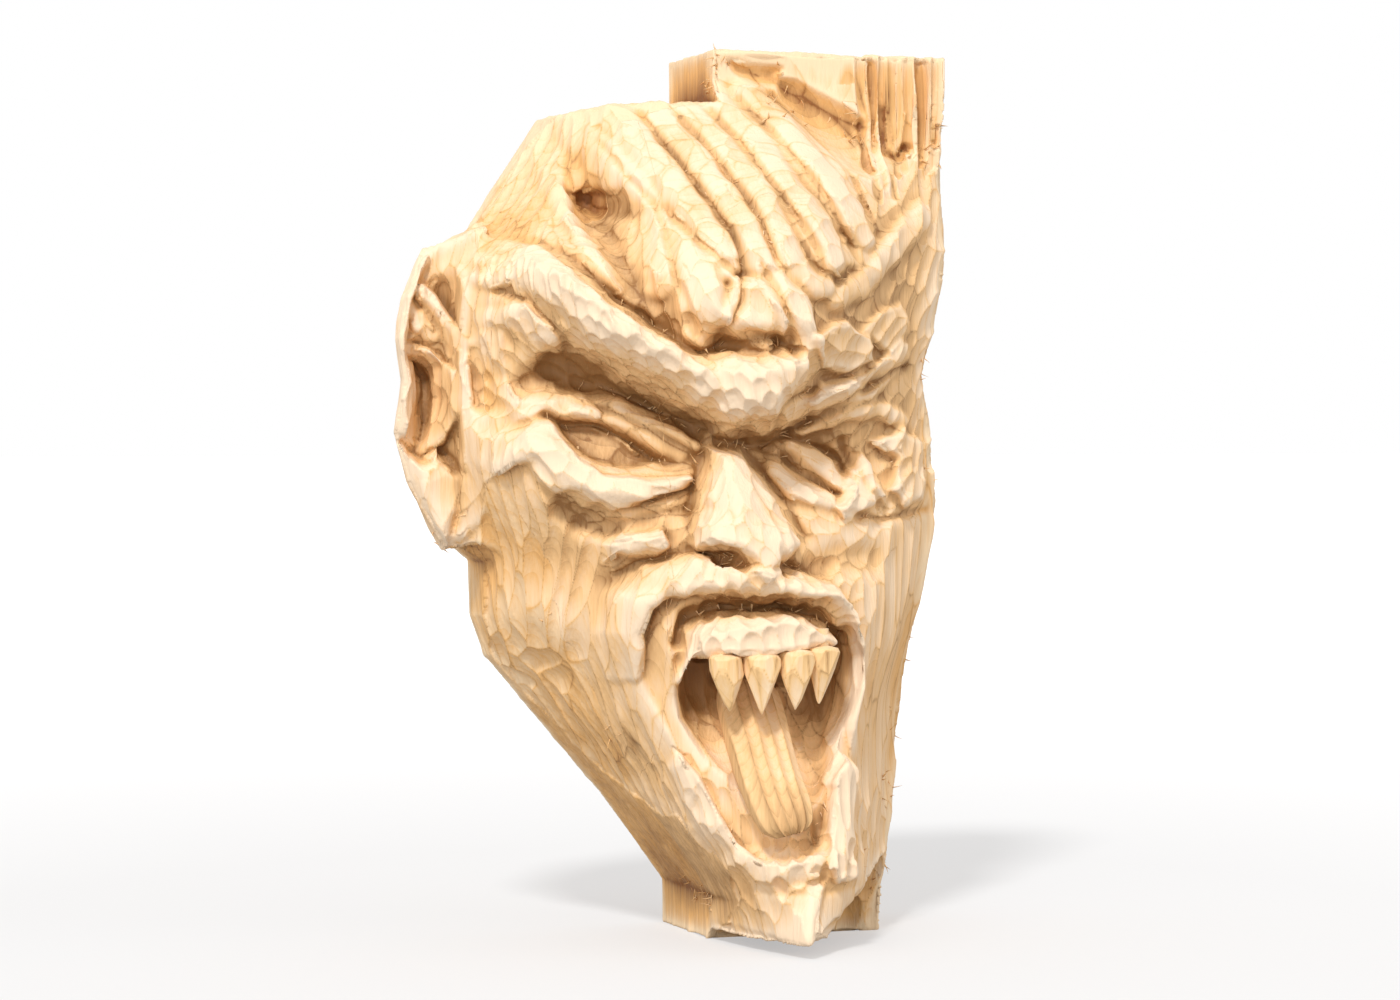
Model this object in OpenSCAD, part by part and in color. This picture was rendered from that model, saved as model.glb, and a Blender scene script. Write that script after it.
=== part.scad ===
// Rough-carved wooden demon mask, glued up from planks and still on its bench stubs.
// Frame: X to the viewer's right, -Y out of the face, +Z up.
// The origin is on the floor, below the centre of the bounding box.

/* [Blank] */
// Width of the blank, from the ear's edge to the far temple
blank_w = 230; // [228:1:232]
// Depth of the blank, from its sawn back to the front of the brow
blank_d = 140; // [138:1:142]
// Height of the long back plank, from stub to stub
blank_h = 372; // [366:1:378]
// Thickness of the back layer of planks
back_t = 60; // [58:1:62]
// Thickness of the middle layer of planks
middle_t = 45; // [44:1:46]

/* [Bench stubs] */
// Left edge of the top stub, from the line of the nose
top_stub_left = 15; // [12:1:18]
// Right edge of the top stub, from the line of the nose
top_stub_right = 114; // [110:1:116]
// Height of the head, where the top stub leaves it
head_h = 352; // [349:1:353]
// Left edge of the bottom stub, from the line of the nose
foot_stub_left = 10; // [8:1:12]
// Right edge of the bottom stub, from the line of the nose
foot_stub_right = 88; // [86:1:90]

/* [Hollow] */
// Half width of the hollow that takes the wearer's face
hollow_rx = 62; // [54:1:64]
// Depth of the hollow from the sawn back
hollow_ry = 58; // [48:1:60]
// Half height of the hollow
hollow_rz = 112; // [96:1:114]

/* [Mouth] */
// Depth of the mouth's flat floor from the sawn back
mouth_floor = 84; // [80:1:86]
// Radius of the peg that holds a fang in the gum
peg_r = 2.6; // [2:0.1:3]
// Length of the peg above the gum's edge
peg_l = 9; // [7:0.5:10]
// Glue gap between a peg and its socket
glue_gap = 0.1; // [0.05:0.05:0.2]
// Length of the longest fang below the gum's edge
fang_l = 25; // [22:1:27]
// Thickness of the tongue
tongue_t = 15; // [13:1:16]

/* [Carving] */
// Distance between the points of the carved surface
grid = 4.6; // [4.6:0.2:7]

/* [Hidden] */

nose_x = -3;                      // the line of the nose, from the middle of the blank
x_low = -blank_w / 2 - nose_x;    // edges of the blank, from the line of the nose
x_high = blank_w / 2 - nose_x;
mid_y = blank_d / 2;
front_f = back_t + middle_t;      // depth at which the front blocks are glued on
plank_joint_x = 14;               // edge joint between the two back planks
ear_joint_x = -80;                // edge joint between the back plank and the ear block
middle_joint_x = -22;             // edge joint in the middle layer, staggered from the back one
brow_joint_z = 203;               // brow and muzzle blocks meet at the root of the nose
gum_z = 119;                      // lowest point of the muzzle block, the edge of the gum
jaw_top_z = 96;                   // highest point of the jaw block, at the corners of the lip
muzzle_reach = [-26, 60];         // how far the muzzle block runs across
over = 1;                         // how far a cutting shape runs past what it cuts

lime = "burlywood";
lime_dark = "tan";
lime_pale = "wheat";

// All x below are from the line of the nose, all depths f from the sawn back.

// Outline of the head as seen from the front, with the bottom stub
head_outline = [
    [foot_stub_left, 0], [foot_stub_left, 19], [-20, 57], [-45, 83], [-72, 118], [-77, 135],
    [-78, 158], [-80, 163], [-88, 200], [-91, 240], [-90, 280], [-82, 292], [-65, 316], [-43, 348],
    [-28, 351], [15, head_h], [108, head_h], [117, 320], [x_high, 290], [113, 256], [106, 237],
    [112, 214], [117, 183], [111, 150], [104, 115], [99, 70], [92, 35], [foot_stub_right, 20],
    [foot_stub_right, 0]
];

ear_outline = [
    [-79, 161], [-92, 163], [-100, 179], [-107, 196], [-111, 213], [x_low, 226], [x_low, 251],
    [-110, 268], [-106, 278], [-98, 289], [-92, 292], [-79, 294]
];

mouth_outline = [
    [-16, 119], [-18, 100], [-16, 84], [-9, 66], [2, 52], [14, 46], [30, 46], [42, 56], [48, 75],
    [53, 100], [54, 119]
];

// Cross-sections of the face: a height, and pairs of x and depth from cheek to cheek
sections = [
    [360, [[-47, 20], [-32, 44], [12, 56], [41, 60], [74, 60], [112, 58]]],
    [340, [[-49, 15], [-44, 40], [-32, 55], [-13, 62], [12, 68], [41, 72], [74, 68], [113, 60]]],
    [320, [[-62, 12], [-57, 36], [-45, 56], [-25, 72], [-3, 84], [21, 90], [48, 88], [80, 76],
           [117, 58]]],
    [300, [[-76, 12], [-71, 38], [-57, 60], [-42, 74], [-25, 86], [-8, 98], [15, 106], [42, 104],
           [75, 88], [118, 60]]],
    [275, [[-90, 38], [-83, 62], [-72, 84], [-51, 98], [-28, 104], [-6, 116], [18, 120],
           [43, 112], [73, 94], [116, 62]]],
    [250, [[-92, 40], [-83, 58], [-70, 78], [-55, 96], [-37, 108], [-16, 118], [5, 128],
           [27, 126], [53, 108], [89, 80], [112, 58]]],
    [225, [[-92, 42], [-82, 58], [-69, 74], [-45, 80], [-28, 92], [-16, 112], [-2, 122],
           [19, 120], [42, 100], [65, 90], [93, 74], [109, 58]]],
    [205, [[-92, 40], [-85, 58], [-73, 74], [-44, 84], [-11, 94], [1, 100], [25, 92], [46, 84],
           [69, 82], [91, 72], [111, 56]]],
    [185, [[-90, 30], [-83, 52], [-69, 74], [-48, 88], [-25, 96], [4, 106], [35, 100], [59, 94],
           [86, 78], [116, 52]]],
    [160, [[-80, 10], [-80, 30], [-70, 52], [-51, 72], [-32, 90], [-12, 104], [7, 110],
           [30, 108], [56, 102], [78, 88], [112, 54]]],
    [130, [[-77, 8], [-75, 28], [-65, 50], [-47, 72], [-33, 90], [-20, 100], [10, 108],
           [45, 106], [67, 98], [85, 80], [106, 50]]],
    [100, [[-58, 8], [-54, 28], [-44, 50], [-33, 70], [-23, 86], [-10, 98], [15, 108],
           [40, 108], [58, 98], [78, 78], [101, 48]]],
    [75, [[-38, 8], [-33, 28], [-24, 52], [-17, 74], [-10, 94], [10, 108], [35, 112],
          [53, 104], [74, 82], [99, 48]]],
    [50, [[-14, 8], [-12, 30], [-8, 58], [-3, 86], [6, 108], [22, 118], [47, 110], [68, 90],
          [95, 54]]],
    [25, [[6, 16], [8, 84], [15, 106], [26, 118], [46, 110], [65, 94], [90, 58]]],
    [0, [[7, 40], [16, 75], [22, 96], [32, 110], [50, 102], [66, 84], [87, 58]]]
];

// Ridges and grooves along a line: both ends in x and z, half width, height (below 0 for a groove)
strokes = [
    // left brow, the band below it and the crease between them
    [-84, 281, -75, 286, 8, 8], [-75, 286, -46, 254, 8, 13], [-46, 254, -8, 218, 9, 13],
    [-78, 266, -30, 220, 6, 4], [-80, 276, -20, 217, 4, -7],
    // left socket, eyeball, lower lid and cheekbone
    [-72, 240, -40, 226, 9, -12], [-34, 216, -14, 206, 5, -12], [-57, 210, -34, 203, 7, 6],
    [-62, 199, -26, 194, 4, -5], [-85, 188, -70, 212, 6, 9], [-70, 212, -45, 186, 6, 7],
    // fold beside the nose and the hollow of the cheek
    [-46, 164, -22, 170, 6, 10], [-44, 148, -38, 122, 8, -9], [-70, 128, -58, 136, 9, -6],
    // upper lip, from corner to corner, and the groove above the gum
    [-35, 108, -34, 140, 6, 12], [-34, 140, -19, 152, 6, 12], [-19, 152, 27, 155, 6, 12],
    [27, 155, 57, 148, 6, 12], [57, 148, 71, 128, 6, 12], [71, 128, 66, 100, 6, 8],
    [-24, 145, 52, 148, 4, -8], [-14, 128, 11, 131, 9, 20], [11, 131, 44, 128, 9, 20],
    // nose: bridge, tip and both wings
    [0, 204, 3, 180, 6, 8], [4, 180, 6, 165, 9, 18], [-13, 168, -11, 168, 6, 10],
    [25, 168, 27, 168, 6, 10],
    // brow knot, bulge and right brow, with the crease below it
    [12, 236, 18, 230, 18, 17], [-4, 222, 0, 218, 8, 10], [23, 219, 60, 242, 10, 9],
    [60, 242, 100, 280, 9, 9], [6, 205, 32, 209, 4, -10], [32, 209, 62, 222, 4, -10],
    [62, 222, 92, 246, 4, -8],
    // right eye and cheek
    [34, 199, 60, 193, 7, 6], [40, 186, 84, 190, 4, -4], [78, 180, 96, 176, 7, 7],
    // hollow of the forehead and the ridges round it
    [-42, 306, -32, 290, 8, -18], [-32, 326, -17, 304, 6, 8], [-17, 304, -25, 276, 6, 9],
    [-62, 310, -50, 286, 6, 6],
    // middle ridge of the forehead and the furrows beside it
    [-21, 337, -11, 288, 5, 6], [-11, 288, -7, 253, 6, 9], [-2, 330, 4, 268, 5, -5],
    [7, 338, 22, 258, 4, 5], [18, 338, 40, 268, 4, 5], [30, 340, 54, 280, 4, 5],
    [44, 340, 66, 287, 4, 5], [-4, 246, 6, 244, 6, -7],
    // lower lip, its raised corners and the chin
    [-17, 80, -7, 40, 6, 10], [44, 80, 58, 40, 8, 9], [-4, 40, 24, 34, 8, 10],
    [24, 34, 50, 40, 8, 8], [20, 18, 26, 14, 11, 12]
];

// Rim, hollows and lobe of the ear, in the same form
ear_base = 22;
ear_strokes = [
    [-96, 284, -105, 262, 5, 6], [-105, 262, -106, 226, 4, 6], [-99, 244, -97, 228, 5, -9],
    [-88, 272, -85, 228, 4, 5], [-96, 200, -90, 178, 8, 5]
];

// A section with its x turned into a share of the way across
function shares(s) =
    let (a = s[0][0], b = s[len(s) - 1][0]) [for (p = s) [(p[0] - a) / (b - a), p[1]]];

shared = [for (s = sections) [s[0], shares(s[1])]];
left_end = [for (s = sections) [s[0], s[1][0][0]]];
right_end = [for (s = sections) [s[0], s[1][len(s[1]) - 1][0]]];

// Index of the section at or above a height
function above(z, i = len(sections) - 1) =
    i == 1 || sections[i - 1][0] >= z ? max(1, i) : above(z, i - 1);

function plain_depth(x, z) =
    let (a = lookup(z, left_end), b = lookup(z, right_end),
         share = (x - a) / (b - a), i = above(z),
         up = shared[i - 1], down = shared[i],
         t = max(0, min(1, (z - down[0]) / (up[0] - down[0]))))
    lookup(share, down[1]) * (1 - t) + lookup(share, up[1]) * t;

// How much one stroke adds at a point
function lift(x, z, s) =
    let (dx = s[2] - s[0], dz = s[3] - s[1],
         t = max(0, min(1, ((x - s[0]) * dx + (z - s[1]) * dz) / (dx * dx + dz * dz))),
         ax = x - s[0] - t * dx, az = z - s[1] - t * dz,
         r2 = (ax * ax + az * az) / (s[4] * s[4]))
    r2 > 6 ? 0 : s[5] * exp(-r2);

function total(list, i = 0) = i == len(list) ? 0 : list[i] + total(list, i + 1);

function face_depth(x, z) =
    max(14, plain_depth(x, z) + total([for (s = strokes) lift(x, z, s)]));

function ear_depth(x, z) = ear_base + total([for (s = ear_strokes) lift(x, z, s)]);

// A closed block from the sawn plane to a carved front, flat where it reaches its top;
// the ear has its own front
module relief(x0, x1, z0, z1, top, ear = false) {
    nx = ceil((x1 - x0) / grid) + 1;
    nz = ceil((z1 - z0) / grid) + 1;
    xs = [for (i = [0 : nx - 1]) x0 + (x1 - x0) * i / (nx - 1)];
    zs = [for (j = [0 : nz - 1]) z0 + (z1 - z0) * j / (nz - 1)];
    points = concat(
        [for (z = zs, x = xs) [x, -min(top, ear ? ear_depth(x, z) : face_depth(x, z)), z]],
        [for (z = zs, x = xs) [x, 0, z]]);
    back = nx * nz;
    function at(i, j) = j * nx + i;
    function side(a, b) = [a, b, back + b, back + a];
    faces = concat(
        [for (j = [0 : nz - 2], i = [0 : nx - 2]) [at(i, j), at(i + 1, j + 1), at(i + 1, j)]],
        [for (j = [0 : nz - 2], i = [0 : nx - 2]) [at(i, j), at(i, j + 1), at(i + 1, j + 1)]],
        [concat([for (i = [0 : nx - 1]) back + at(i, 0)],
                [for (j = [1 : nz - 1]) back + at(nx - 1, j)],
                [for (i = [nx - 2 : -1 : 0]) back + at(i, nz - 1)],
                [for (j = [nz - 2 : -1 : 1]) back + at(0, j)])],
        [for (i = [0 : nx - 2]) side(at(i, 0), at(i + 1, 0))],
        [for (i = [0 : nx - 2]) side(at(i + 1, nz - 1), at(i, nz - 1))],
        [for (j = [0 : nz - 2]) side(at(0, j + 1), at(0, j))],
        [for (j = [0 : nz - 2]) side(at(nx - 1, j), at(nx - 1, j + 1))]);
    polyhedron(points, faces, convexity = 8);
}

// Moves what is measured from the nose and the sawn back to the frame
module place() { translate([nose_x, mid_y, 0]) children(); }

// A box from its ranges in x, in depth from the sawn back, and in z
module span(x0, x1, f0, f1, z0, z1) {
    translate([x0, -f1, z0]) cube([x1 - x0, f1 - f0, z1 - z0]);
}

// A flat outline given its depth range
module slab(outline, f0, f1) {
    translate([0, -f0, 0]) rotate([90, 0, 0]) linear_extrude(f1 - f0) polygon(outline);
}

module hollow() {
    translate([8, 0, 186]) scale([hollow_rx, hollow_ry, hollow_rz]) sphere(1, $fn = 28);
}

// The part of the carved head between two joints across, two in depth and two in height
module carved(x0, x1, f0, f1, z0 = 0, z1 = head_h) {
    place() resize([0, 0, 0]) difference() {
        intersection() {
            relief(x_low - over, x_high + over, -over, head_h + over, f1);
            slab(head_outline, -over, blank_d + over);
            span(x0, x1, f0, f1 + over, z0, z1);
        }
        if (f0 < hollow_ry) hollow();
        if (f1 > mouth_floor) slab(mouth_outline, mouth_floor, blank_d + over);
    }
}

module stub_plank() {
    color(lime_dark) union() {
        carved(plank_joint_x, x_high, 0, back_t);
        place() span(top_stub_left, top_stub_right, 0, back_t, head_h - over, blank_h);
    }
}

module side_plank() {
    color(lime) carved(ear_joint_x, plank_joint_x, 0, back_t);
}

module ear_block() {
    color(lime_pale) place() resize([0, 0, 0]) intersection() {
        relief(x_low - over, ear_joint_x + over, 158, 298, back_t, ear = true);
        slab(ear_outline, -over, back_t);
        span(x_low, ear_joint_x, 0, back_t, 158, 298);
    }
}

module middle_plank_left() {
    color(lime) carved(x_low, middle_joint_x, back_t, front_f);
}

module middle_plank_right() {
    color(lime_pale) carved(middle_joint_x, x_high, back_t, front_f);
}

module brow_block() {
    color(lime_pale) carved(x_low, x_high, front_f, blank_d, brow_joint_z, head_h);
}

module muzzle_block() {
    color(lime) difference() {
        carved(muzzle_reach[0], muzzle_reach[1], front_f, blank_d, gum_z, brow_joint_z);
        place() for (i = [0 : 3]) socket(i);
    }
}

module jaw_block() {
    color(lime_pale) carved(x_low, x_high, front_f, blank_d, 0, jaw_top_z);
}

// The tongue rests with its flat root on the floor of the mouth and curls out over the lip
module tongue() {
    color(lime_pale) place() difference() {
        union() {
            hull() { lump(12, 86, 98, 17); lump(16, 104, 84, 16); }
            hull() { lump(16, 104, 84, 16); lump(22, 122, 58, 12); }
        }
        span(-20, 60, 60, mouth_floor, 40, 130);
    }
}

module lump(x, f, z, half_w) {
    translate([x, -f, z]) scale([half_w, tongue_t / 2, tongue_t / 2]) sphere(1, $fn = 20);
}

// Each fang: x and depth of its root, and its share of the full length
fangs = [[-2.5, 112, 0.95], [12, 115, 1], [27, 115, 1], [39.5, 112, 0.95]];

module socket(i) {
    translate([fangs[i][0], -fangs[i][1], gum_z - over])
        cylinder(h = peg_l + 2 * over, r = peg_r + glue_gap, $fn = 24);
}

module fang(i) {
    f = fangs[i];
    color("cornsilk") place() translate([f[0], -f[1], gum_z]) {
        cylinder(h = peg_l, r = peg_r);
        translate([0, 0, -fang_l * f[2]]) cylinder(h = fang_l * f[2], r1 = 0.7, r2 = 6.2);
    }
}

stub_plank();
side_plank();
ear_block();
middle_plank_left();
middle_plank_right();
brow_block();
muzzle_block();
jaw_block();
tongue();
fang(0);  // fang_1
fang(1);  // fang_2
fang(2);  // fang_3
fang(3);  // fang_4
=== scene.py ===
"""A rough-carved demon mask on its block: one sculpted volume cut into its planks and blocks.

Sizes are in millimetres: x from the line of the nose, f forward from the sawn back, z up.
"""

import math

import bpy
import numpy as np
import openvdb
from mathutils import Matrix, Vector


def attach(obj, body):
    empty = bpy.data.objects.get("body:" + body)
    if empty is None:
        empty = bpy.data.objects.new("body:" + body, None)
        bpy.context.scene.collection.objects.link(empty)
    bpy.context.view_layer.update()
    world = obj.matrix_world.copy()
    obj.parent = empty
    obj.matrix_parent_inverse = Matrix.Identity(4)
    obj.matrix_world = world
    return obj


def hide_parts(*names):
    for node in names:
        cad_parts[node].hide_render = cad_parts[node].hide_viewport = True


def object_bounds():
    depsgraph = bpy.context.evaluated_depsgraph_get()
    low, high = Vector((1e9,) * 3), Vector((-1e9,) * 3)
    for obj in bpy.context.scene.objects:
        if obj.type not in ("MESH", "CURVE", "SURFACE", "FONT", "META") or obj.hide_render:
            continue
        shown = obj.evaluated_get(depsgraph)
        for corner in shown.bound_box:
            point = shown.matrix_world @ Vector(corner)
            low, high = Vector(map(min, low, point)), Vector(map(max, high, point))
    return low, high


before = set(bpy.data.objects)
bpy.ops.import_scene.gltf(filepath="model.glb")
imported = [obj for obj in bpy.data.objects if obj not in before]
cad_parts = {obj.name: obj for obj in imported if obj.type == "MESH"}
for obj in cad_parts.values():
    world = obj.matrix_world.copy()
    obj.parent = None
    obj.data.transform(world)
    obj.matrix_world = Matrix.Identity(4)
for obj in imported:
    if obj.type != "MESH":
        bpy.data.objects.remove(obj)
CAD_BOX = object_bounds()
MM = 0.001
LOW, HIGH = [Vector(c) for c in CAD_BOX]
NOSE_X = (LOW.x + HIGH.x) / 2 / MM - 3.0
BACK_Y = HIGH.y / MM
TOP_Z = HIGH.z / MM
PITCH = 0.6
RNG = np.random.default_rng(7)

# ---------------------------------------------------------------- the block

STUB = (13.0, 117.5)
FOOT = (10.0, 88.0)
BACK_T = 60.0
FRONT_F = 105.0
DEPTH = (HIGH.y - LOW.y) / MM

OUTLINE = [
    (FOOT[0], 0), (FOOT[0], 19), (-18.5, 57), (-41, 83), (-71, 118), (-77, 135), (-78, 158),
    (-84, 163), (-91, 200), (-93, 240), (-91, 280), (-82, 292), (-67, 316), (-47, 345.5), (-28, 349),
    (STUB[0], 350), (STUB[0], TOP_Z), (STUB[1], TOP_Z), (STUB[1], 345), (117, 320), (118, 290),
    (113, 256), (106, 237), (112, 214), (117, 183), (111, 150), (104, 115), (99, 70), (92, 35),
    (FOOT[1], 20), (FOOT[1], 0),
]

EAR_OUTLINE = [
    (-80, 166), (-84, 166), (-89, 164), (-95, 163), (-100, 171), (-105, 181), (-110, 192),
    (-113, 203), (-115.5, 212), (-113.5, 224), (-112.5, 234), (-114, 243), (-115, 251), (-114, 259),
    (-112, 268), (-109.5, 275), (-106, 283), (-103, 289), (-98, 290), (-80, 298),
]

# The hollow of the mouth at its floor, and the gum that stands in its upper part
MOUTH = [(-8, 128), (-9, 112), (-9.5, 96), (-6, 79), (1, 66), (8, 56), (18, 50), (29, 51),
         (37, 61), (45, 80), (50, 98), (53, 112), (53, 128)]
FLOOR_Z = (50, 59, 67, 77, 87, 96, 105)
FLOOR_F = (115, 112, 107, 100, 93, 87, 84)
GUM = [(-17.6, 109), (-17.4, 123), (-15.6, 132), (-9.7, 136.4), (3, 139), (22, 140),
       (36, 136.6), (46, 131), (52, 126.4), (49, 123.8), (30.4, 121.8), (12.7, 120.2),
       (-4.4, 120.2), (-12.6, 120), (-14.2, 115), (-15.5, 111)]
GUM_X = (-18, -12, -4, 12, 25, 36, 46, 52)
GUM_F = (104, 113, 119, 121.5, 121, 118, 113, 108)
GUM_Z = 119

# Underside of the jaw: x and lowest z
JAW_X = (-20, 13, 30, 42, 50, 68, 88, 130)
JAW_Z = (5, 5, 6, 6.5, 12, 24, 34, 34)

# height: pairs of x and depth, from the left edge to the right
SECTIONS = {
    372: [(-47, 20), (-32, 44), (12, 58), (41, 58), (74, 60), (118, 60)],
    356: [(-47, 20), (-32, 44), (12, 58), (41, 58), (74, 60), (114, 60)],
    340: [(-49, 15), (-44, 40), (-32, 55), (-13, 62), (12, 66), (41, 70), (74, 64), (113, 58)],
    320: [(-62, 12), (-57, 36), (-45, 56), (-25, 72), (-3, 84), (21, 90), (48, 88), (80, 74),
          (117, 56)],
    300: [(-76, 12), (-71, 38), (-57, 60), (-42, 74), (-25, 86), (-8, 98), (15, 106), (42, 104),
          (75, 86), (118, 58)],
    275: [(-90, 38), (-83, 62), (-72, 84), (-51, 98), (-28, 104), (-6, 116), (18, 120),
          (43, 112), (73, 92), (116, 60)],
    250: [(-92, 40), (-83, 58), (-70, 78), (-55, 96), (-37, 106), (-16, 116), (5, 124),
          (27, 122), (53, 106), (89, 80), (112, 58)],
    225: [(-92, 42), (-82, 56), (-69, 72), (-45, 78), (-28, 90), (-16, 106), (-2, 114),
          (19, 112), (42, 98), (65, 90), (93, 74), (109, 58)],
    205: [(-92, 40), (-85, 58), (-73, 74), (-44, 84), (-23, 90), (-11, 94), (1, 98),
          (25, 92), (46, 84), (69, 82), (91, 72), (111, 56)],
    185: [(-90, 30), (-83, 52), (-69, 74), (-48, 88), (-25, 96), (-10, 100), (4, 103),
          (35, 100), (59, 94), (86, 78), (116, 52)],
    160: [(-80, 10), (-80, 30), (-70, 52), (-51, 72), (-32, 90), (-12, 103), (7, 108),
          (30, 107), (56, 102), (78, 88), (112, 54)],
    130: [(-77, 8), (-75, 28), (-65, 50), (-47, 72), (-33, 90), (-20, 100), (10, 108),
          (45, 106), (67, 98), (85, 80), (106, 50)],
    100: [(-58, 8), (-54, 28), (-46, 50), (-37, 71), (-29, 87), (-20, 93), (-8, 99), (15, 106),
          (40, 107), (58, 98), (78, 78), (101, 48)],
    75: [(-38, 8), (-34, 28), (-28, 52), (-23, 74), (-19, 90), (-8, 99), (10, 108), (35, 112),
         (53, 104), (74, 82), (99, 48)],
    50: [(-14, 8), (-14, 30), (-14, 58), (-13, 80), (-9.5, 95), (5, 108), (22, 118), (47, 110),
         (68, 90), (95, 54)],
    25: [(6, 16), (2, 55), (2, 84), (5, 103), (26, 120), (46, 114), (65, 94), (90, 58)],
    5: [(7, 40), (12, 78), (16, 100), (24, 126), (34, 124), (48, 104), (64, 76), (88, 58)],
    0: [(7, 40), (12, 78), (16, 98), (24, 120), (34, 118), (48, 100), (64, 74), (88, 58)],
}

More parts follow.
